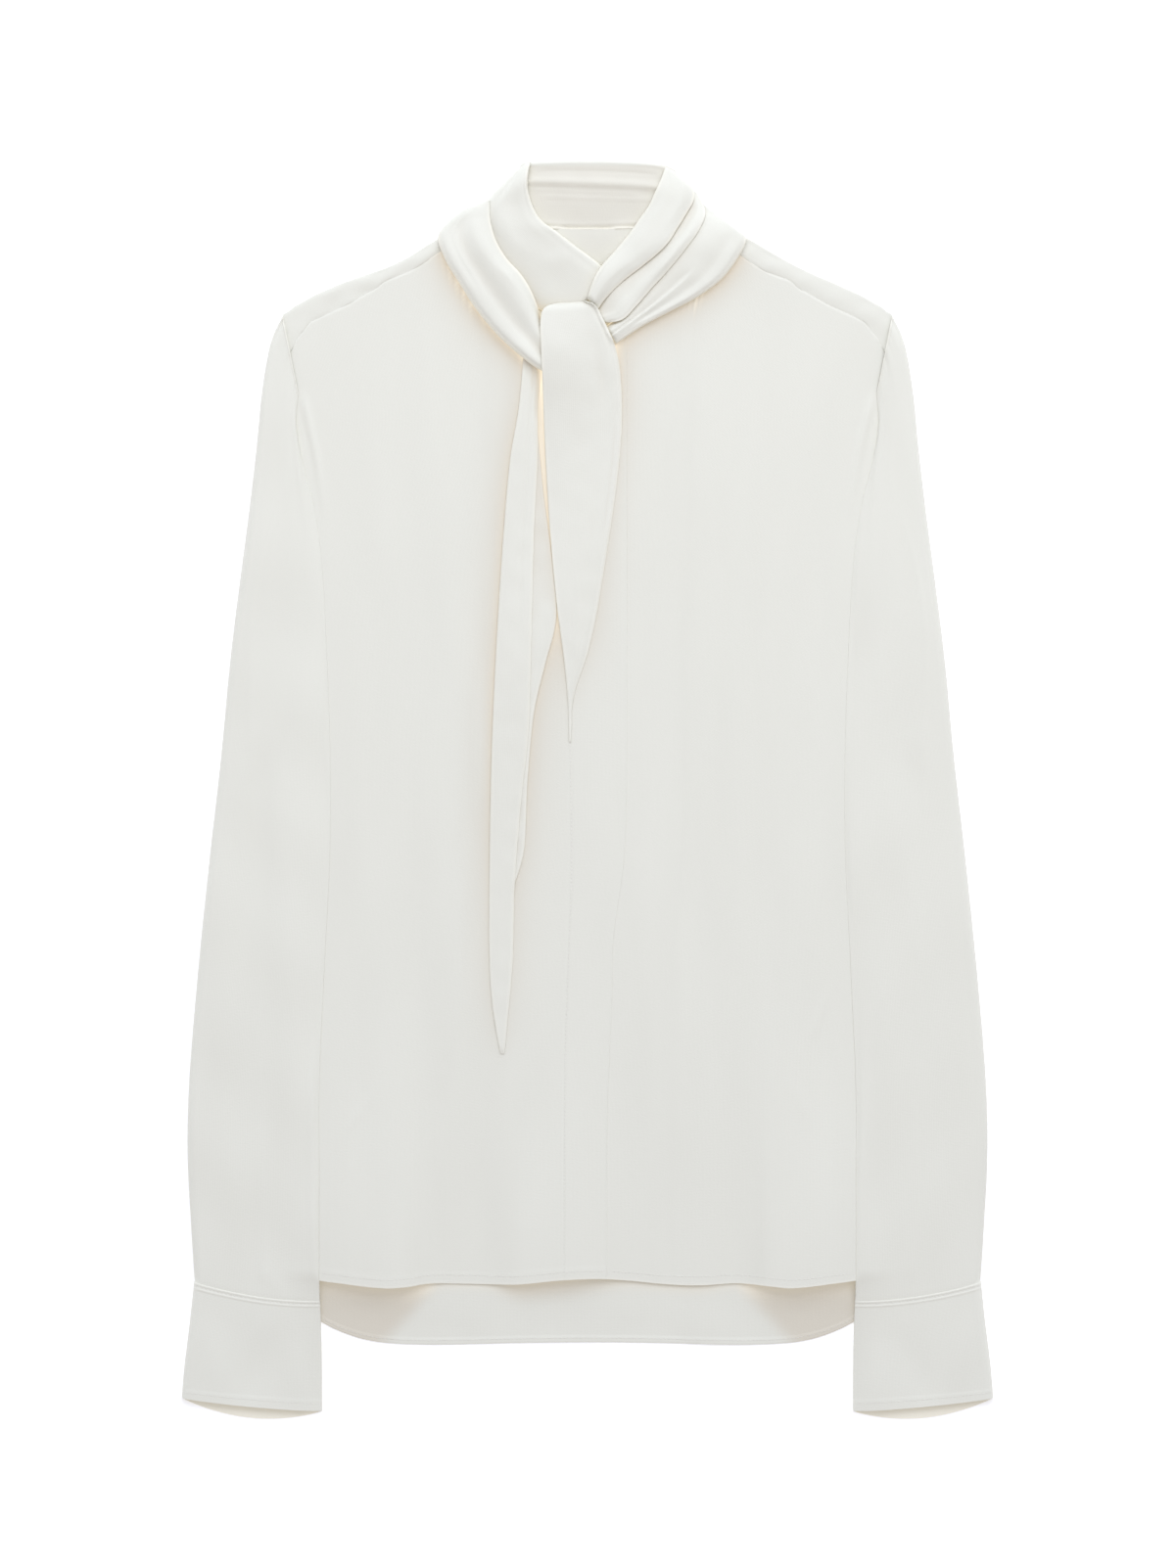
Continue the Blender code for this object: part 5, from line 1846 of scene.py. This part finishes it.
@dataclass
class Wound(Cloth):
    """A stretch of folded cloth. It follows what lies below it and is rounded above."""

    wrap: Wrap = COLLAR_BACK
    step_along: float = 1.6
    step_across: float = 1.0
    sections_within: tuple[int, int] = (40, 190)
    columns_within: tuple[int, int] = (28, 72)
    end_height: float = 0.15  # share of its height at its two ends
    rough: float = 0.05  # height of its finest ripples
    painted_edge_glow: float = 0.07  # painted glow: emission along its folded edges, standing in for light that comes through them
    painted_glow_width: float = 1.3
    painted_thin_glow: float = 0.6  # share of that painted glow where it has no crown
    painted_crown_glow: float = 0.25  # and how much a millimetre of crown adds

    def build(self) -> None:
        """Builds the stretch as a flattened tube of cloth and lays it on the pile."""
        wrap = self.wrap
        _, far = strip(wrap.sections, 2)
        count = int(np.clip(round(far[-1] / self.step_along), *self.sections_within))
        sections, far = strip(wrap.sections, count)
        across = sections[:, 2:4] - sections[:, 0:2]
        width = np.linalg.norm(across, axis=1)[:, None]
        columns = int(np.clip(width.max() * 1.5 / self.step_across, *self.columns_within))
        shares = shares_across(columns)
        place = sections[:, None, 0:2] + across[:, None] * shares[None, :, None]
        x, y = place[..., 0], place[..., 1]
        floors = PILE.floor(x, y, wrap.reach, wrap.reach)
        along_cells = wrap.drape[0] / (far[-1] / (count - 1))
        across_cells = wrap.drape[1] / (float(width.mean()) / columns)
        lows = draped(floors, 1.5, 1.5)
        highs = spanned(floors, along_cells, across_cells)
        along = np.linspace(0, 1, count)[:, None]
        ends = quarter_round(far, wrap.ends[0]) * quarter_round(far[-1] - far, wrap.ends[1])
        ends = self.end_height + (1 - self.end_height) * ends[:, None]
        rims = [
            np.array(start) + (np.array(end) - np.array(start)) * along
            for start, end in (wrap.inner, wrap.outer)
        ]
        top, low = self.surfaces(sections[:, 4:5], shares, width, along, rims, highs - lows)
        rough = self.rough * ripples(x, y, 16.0, 31) * ease(from_edge(shares, width) / 4.0)
        low_z = lows + low * ends + HALF_SILK
        top_z = np.maximum(lows + (top + rough) * ends - HALF_SILK, low_z)
        middle = (top_z + low_z) / 2
        top_z[:, [0, -1]] = middle[:, [0, -1]]
        upper = np.concatenate([place, top_z[..., None]], axis=-1)
        lower = np.concatenate([place, low_z[..., None]], axis=-1)[:, -2:0:-2]
        points = np.concatenate([upper, lower], axis=1)
        # painted shade inside the collar's back, and painted glow along the folded edges
        painted_shade_amount, glow = 0.0, np.zeros(points.shape[:2])
        if wrap is COLLAR_BACK:
            painted_shade_amount = PAINTED_INSIDE_SHADE * ease((INSIDE_TOP - points[..., 1]) / 1.5)
            glow[:, :columns] = self.painted_edge_glow * bell(shares * width - 0.9, 0.8)
        else:
            strength = self.painted_edge_glow * (self.painted_thin_glow + self.painted_crown_glow * sections[:, 4:5])
            glow[:, :columns] = bell(from_edge(shares, width), self.painted_glow_width) * strength
        piece = shell(f"silk_{wrap.node}", points, closed=True, painted_shade_amount=painted_shade_amount, glow=glow)
        PILE.lay(upper)
        area = plan_area(upper) + plan_area(lower)
        flat = (2 * float(width.max()) + 4.0, float(far[-1]) + 2.0)
        self.dress(piece, wrap.node, flat, area, wrap.rests_on, held="folded")

    def surfaces(
        self, crown: np.ndarray, shares: np.ndarray, width: np.ndarray, along: np.ndarray,
        rims: Sequence[np.ndarray], extra: np.ndarray,
    ) -> tuple[np.ndarray, np.ndarray]:
        """Heights of the upper and under side above what it lies on.

        Args:
            crown: greatest height of each section.
            shares: places across.
            width: of each section.
            along: shares of the way along.
            rims: the inner and the outer rim's measures at each section.
            extra: height by which the cloth spans hollows below it.

        Returns:
            Both heights at each section and place.
        """
        half = width / 2
        rolls = [np.minimum(rim[:, 0:1], half * 0.98) for rim in rims]
        held = np.clip(shares, rolls[0] / width, 1 - rolls[1] / width)
        full = DOUBLED + np.maximum(self.crown(crown, held, shares, along), 0) + extra
        top, low = full.copy(), np.zeros_like(full)
        for rim, roll, share in zip(rims, rolls, (shares, 1 - shares)):
            _, level, recess, slope = np.split(rim, 4, axis=1)
            distance = share * width
            sloped = 1 - (1 - np.clip(distance / roll, 0, 1)) ** slope
            rise = np.where(slope > 1.01, sloped, quarter_round(distance, roll))
            top = np.where(distance < roll, full * (level + (1 - level) * rise), top)
            under = full * level * (1 - quarter_round(distance, recess))
            low = np.maximum(low, np.where(distance < half, under, 0))
        return top, np.minimum(low, top - SILK)

    def crown(
        self, crown: np.ndarray, held: np.ndarray, shares: np.ndarray, along: np.ndarray
    ) -> np.ndarray:
        """Height of the folds above the flat layers.

        Args:
            crown: greatest height of each section.
            held: places across, held inside the rims.
            shares: places across.
            along: shares of the way along.

        Returns:
            The height at each section and place.
        """
        peak = self.wrap.peak
        off = np.where(held < peak, (peak - held) / peak, (held - peak) / (1 - peak))
        power = np.where(held < peak, 0.5, self.wrap.fall)
        height = crown * np.clip(1 - off**2, 0, 1) ** power
        for crease in self.wrap.creases:
            distance = shares - (crease.start + (crease.end - crease.start) * along)
            flank = np.where(distance < 0, crease.inner_flank, crease.outer_flank)
            life = ease((along - crease.begins) / FADE + (crease.begins <= 0))
            life = life * ease((crease.finishes - along) / FADE + (crease.finishes >= 1))
            height = height + crease.height * bell(distance, flank) * life
        return height


NEAR, NEAR_FORCE = 5.0, 1.0  # for the painted shade and painted glow: how far away wound cloth above a point counts, and how strongly
FAR, FAR_FORCE = 12.0, 4.6
FAR_HEIGHT = 3.0  # far away its height counts only up to this
SMOOTH = 6.0  # the pieces below count without details finer than this
COLLAR_SHARE = 0.5  # the collar stands up into the light, so it gets less painted shade
OUTLINE, OUTLINE_FADE = 0.55, 0.35  # by the outline, with less cloth round a point, nothing counts
DEEPEST = 1.5  # most that the wound cloth beside a point counts
PAINTED_GLOW_STRENGTH = 0.15  # strength of the painted glow, an emission for light through the silk, where it counts 1. It grows by the cube


def paint_shade_and_glow(base: np.ndarray) -> None:
    """Paints a warm darker shade and a glow by how far the wound cloth beside each point shuts out the sky.

    The glow is an emission that stands in for light through the silk.
    The neck's inside is left out: light falls straight into it.

    Args:
        base: heights of the pieces below the wound cloth.
    """
    inside = blur((PILE.top > 0).astype(float), NEAR, NEAR)
    cover = PILE.top - base
    base = blur(base, SMOOTH, SMOOTH)
    near, far = blur(cover, NEAR, NEAR), blur(np.minimum(cover, FAR_HEIGHT), FAR, FAR)
    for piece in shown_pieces():
        if PAINTED_SHADE_KEY not in piece.data.attributes or piece.name in ("silk_back", "silk_collar_back"):
            continue
        place = np.empty(3 * len(piece.data.vertices), np.float32)
        piece.data.vertices.foreach_get("co", place)
        x, y, z = place.reshape(-1, 3).T / MM
        own = np.clip(z - PILE.at(base, x, y), 0, None)
        beside = NEAR_FORCE * np.clip(PILE.at(near, x, y) - own, 0, None) / NEAR
        beside += FAR_FORCE * np.clip(PILE.at(far, x, y) - own, 0, None) / FAR
        beside = np.clip(beside, 0, DEEPEST) * ease((PILE.at(inside, x, y) - OUTLINE) / OUTLINE_FADE)
        if piece.name.startswith("silk_collar"):
            beside *= COLLAR_SHARE
        # painted shade, and painted glow
        for key, marks in ((PAINTED_SHADE_KEY, np.minimum(beside, 1)), (PAINTED_GLOW_KEY, PAINTED_GLOW_STRENGTH * beside**3)):
            values, data = np.empty(len(x), np.float32), piece.data.attributes[key].data
            data.foreach_get("value", values)
            data.foreach_set("value", np.maximum(values, marks).astype(np.float32))


# ---------------------------------------------------------------- studio


@dataclass
class Studio:
    """A light table, one broad soft light from the collar's end, fill all round and a camera above."""

    frame_height: float = 977.2  # what the camera sees, in millimetres on the floor
    centre_y: float = 4.0
    camera_height: float = 3000.0
    sensor: float = 36.0
    key_watts: float = 21.3
    key_place: tuple[float, float, float] = (0.2, 1.3, 1.6)  # in metres
    key_size: tuple[float, float] = (2.6, 1.4)
    fill: float = 1.25
    key_colour: str = "#f9fbff"
    sky_above: str = "#e9f0ff"  # the fill beyond the collar
    sky_below: str = "#9d938d"  # and beyond the hem, dimmer and warmer
    table_half: float = 6000.0
    table_z: float = -0.3

    def build(self) -> None:
        """Builds floor, lights, world and camera."""
        scene = bpy.context.scene
        scene.view_settings.view_transform = "Standard"
        corners = np.array([
            [self.table_half * x, self.table_half * y, self.table_z]
            for x, y in ((-1, -1), (1, -1), (1, 1), (-1, 1))
        ])
        mesh = bpy.data.meshes.new("floor")
        mesh.from_pydata((corners * MM).tolist(), [], [[0, 1, 2, 3]])
        floor = bpy.data.objects.new("floor", mesh)
        scene.collection.objects.link(floor)
        mesh.materials.append(LitFloor().build())
        floor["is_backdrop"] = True

        light = bpy.data.lights.new("window", "AREA")
        light.shape = "RECTANGLE"
        light.size, light.size_y = self.key_size
        light.energy, light.color = self.key_watts, linear(self.key_colour)[:3]
        lamp = bpy.data.objects.new("window", light)
        lamp.location = self.key_place
        lamp.rotation_euler = Vector(self.key_place).to_track_quat("Z", "Y").to_euler()
        scene.collection.objects.link(lamp)

        world = bpy.data.worlds.new("studio")
        world.use_nodes = True
        tree = world.node_tree
        background = tree.nodes["Background"]
        background.inputs["Strength"].default_value = self.fill
        way = add_node(tree, "TexCoord", {}, {})
        split = add_node(tree, "SeparateXYZ", {}, {0: way.outputs["Generated"]})
        share = add_node(tree, "MapRange", {"From Min": -1.0}, {"Value": split.outputs["Y"]})
        sky = mixed(tree, self.sky_below, self.sky_above, share.outputs[0])
        tree.links.new(sky, background.inputs["Color"])
        scene.world = world

        camera = bpy.data.cameras.new("camera")
        camera.sensor_width = self.sensor
        camera.lens = self.sensor * self.camera_height / self.frame_height
        camera.clip_end = 20.0
        eye = bpy.data.objects.new("camera", camera)
        eye.location = (0.0, self.centre_y * MM, self.camera_height * MM)
        scene.collection.objects.link(eye)
        scene.camera = eye


def main() -> None:
    """Builds the blouse and the studio round it."""
    logging.basicConfig(level=logging.INFO, format="%(name)s: %(message)s")
    Studio().build()
    silk = SilkCrepe().build()
    sewing = Sewing(SilkThread().build())
    BackPanel(silk, sewing).build()
    FrontPanel(silk, sewing, side=Side.LEFT).build()
    FrontPanel(silk, sewing, side=Side.RIGHT).build()
    for side in Side:
        Arm(silk, sewing, side=side).build()
    base = PILE.top.copy()
    for wrap in WRAPS:
        Wound(silk, sewing, wrap=wrap).build()
    paint_shade_and_glow(base)
    total = sum(sum(len(p.vertices) - 2 for p in o.data.polygons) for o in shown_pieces())
    log.info("triangles: %d", total)


if __name__ == "__main__":
    main()
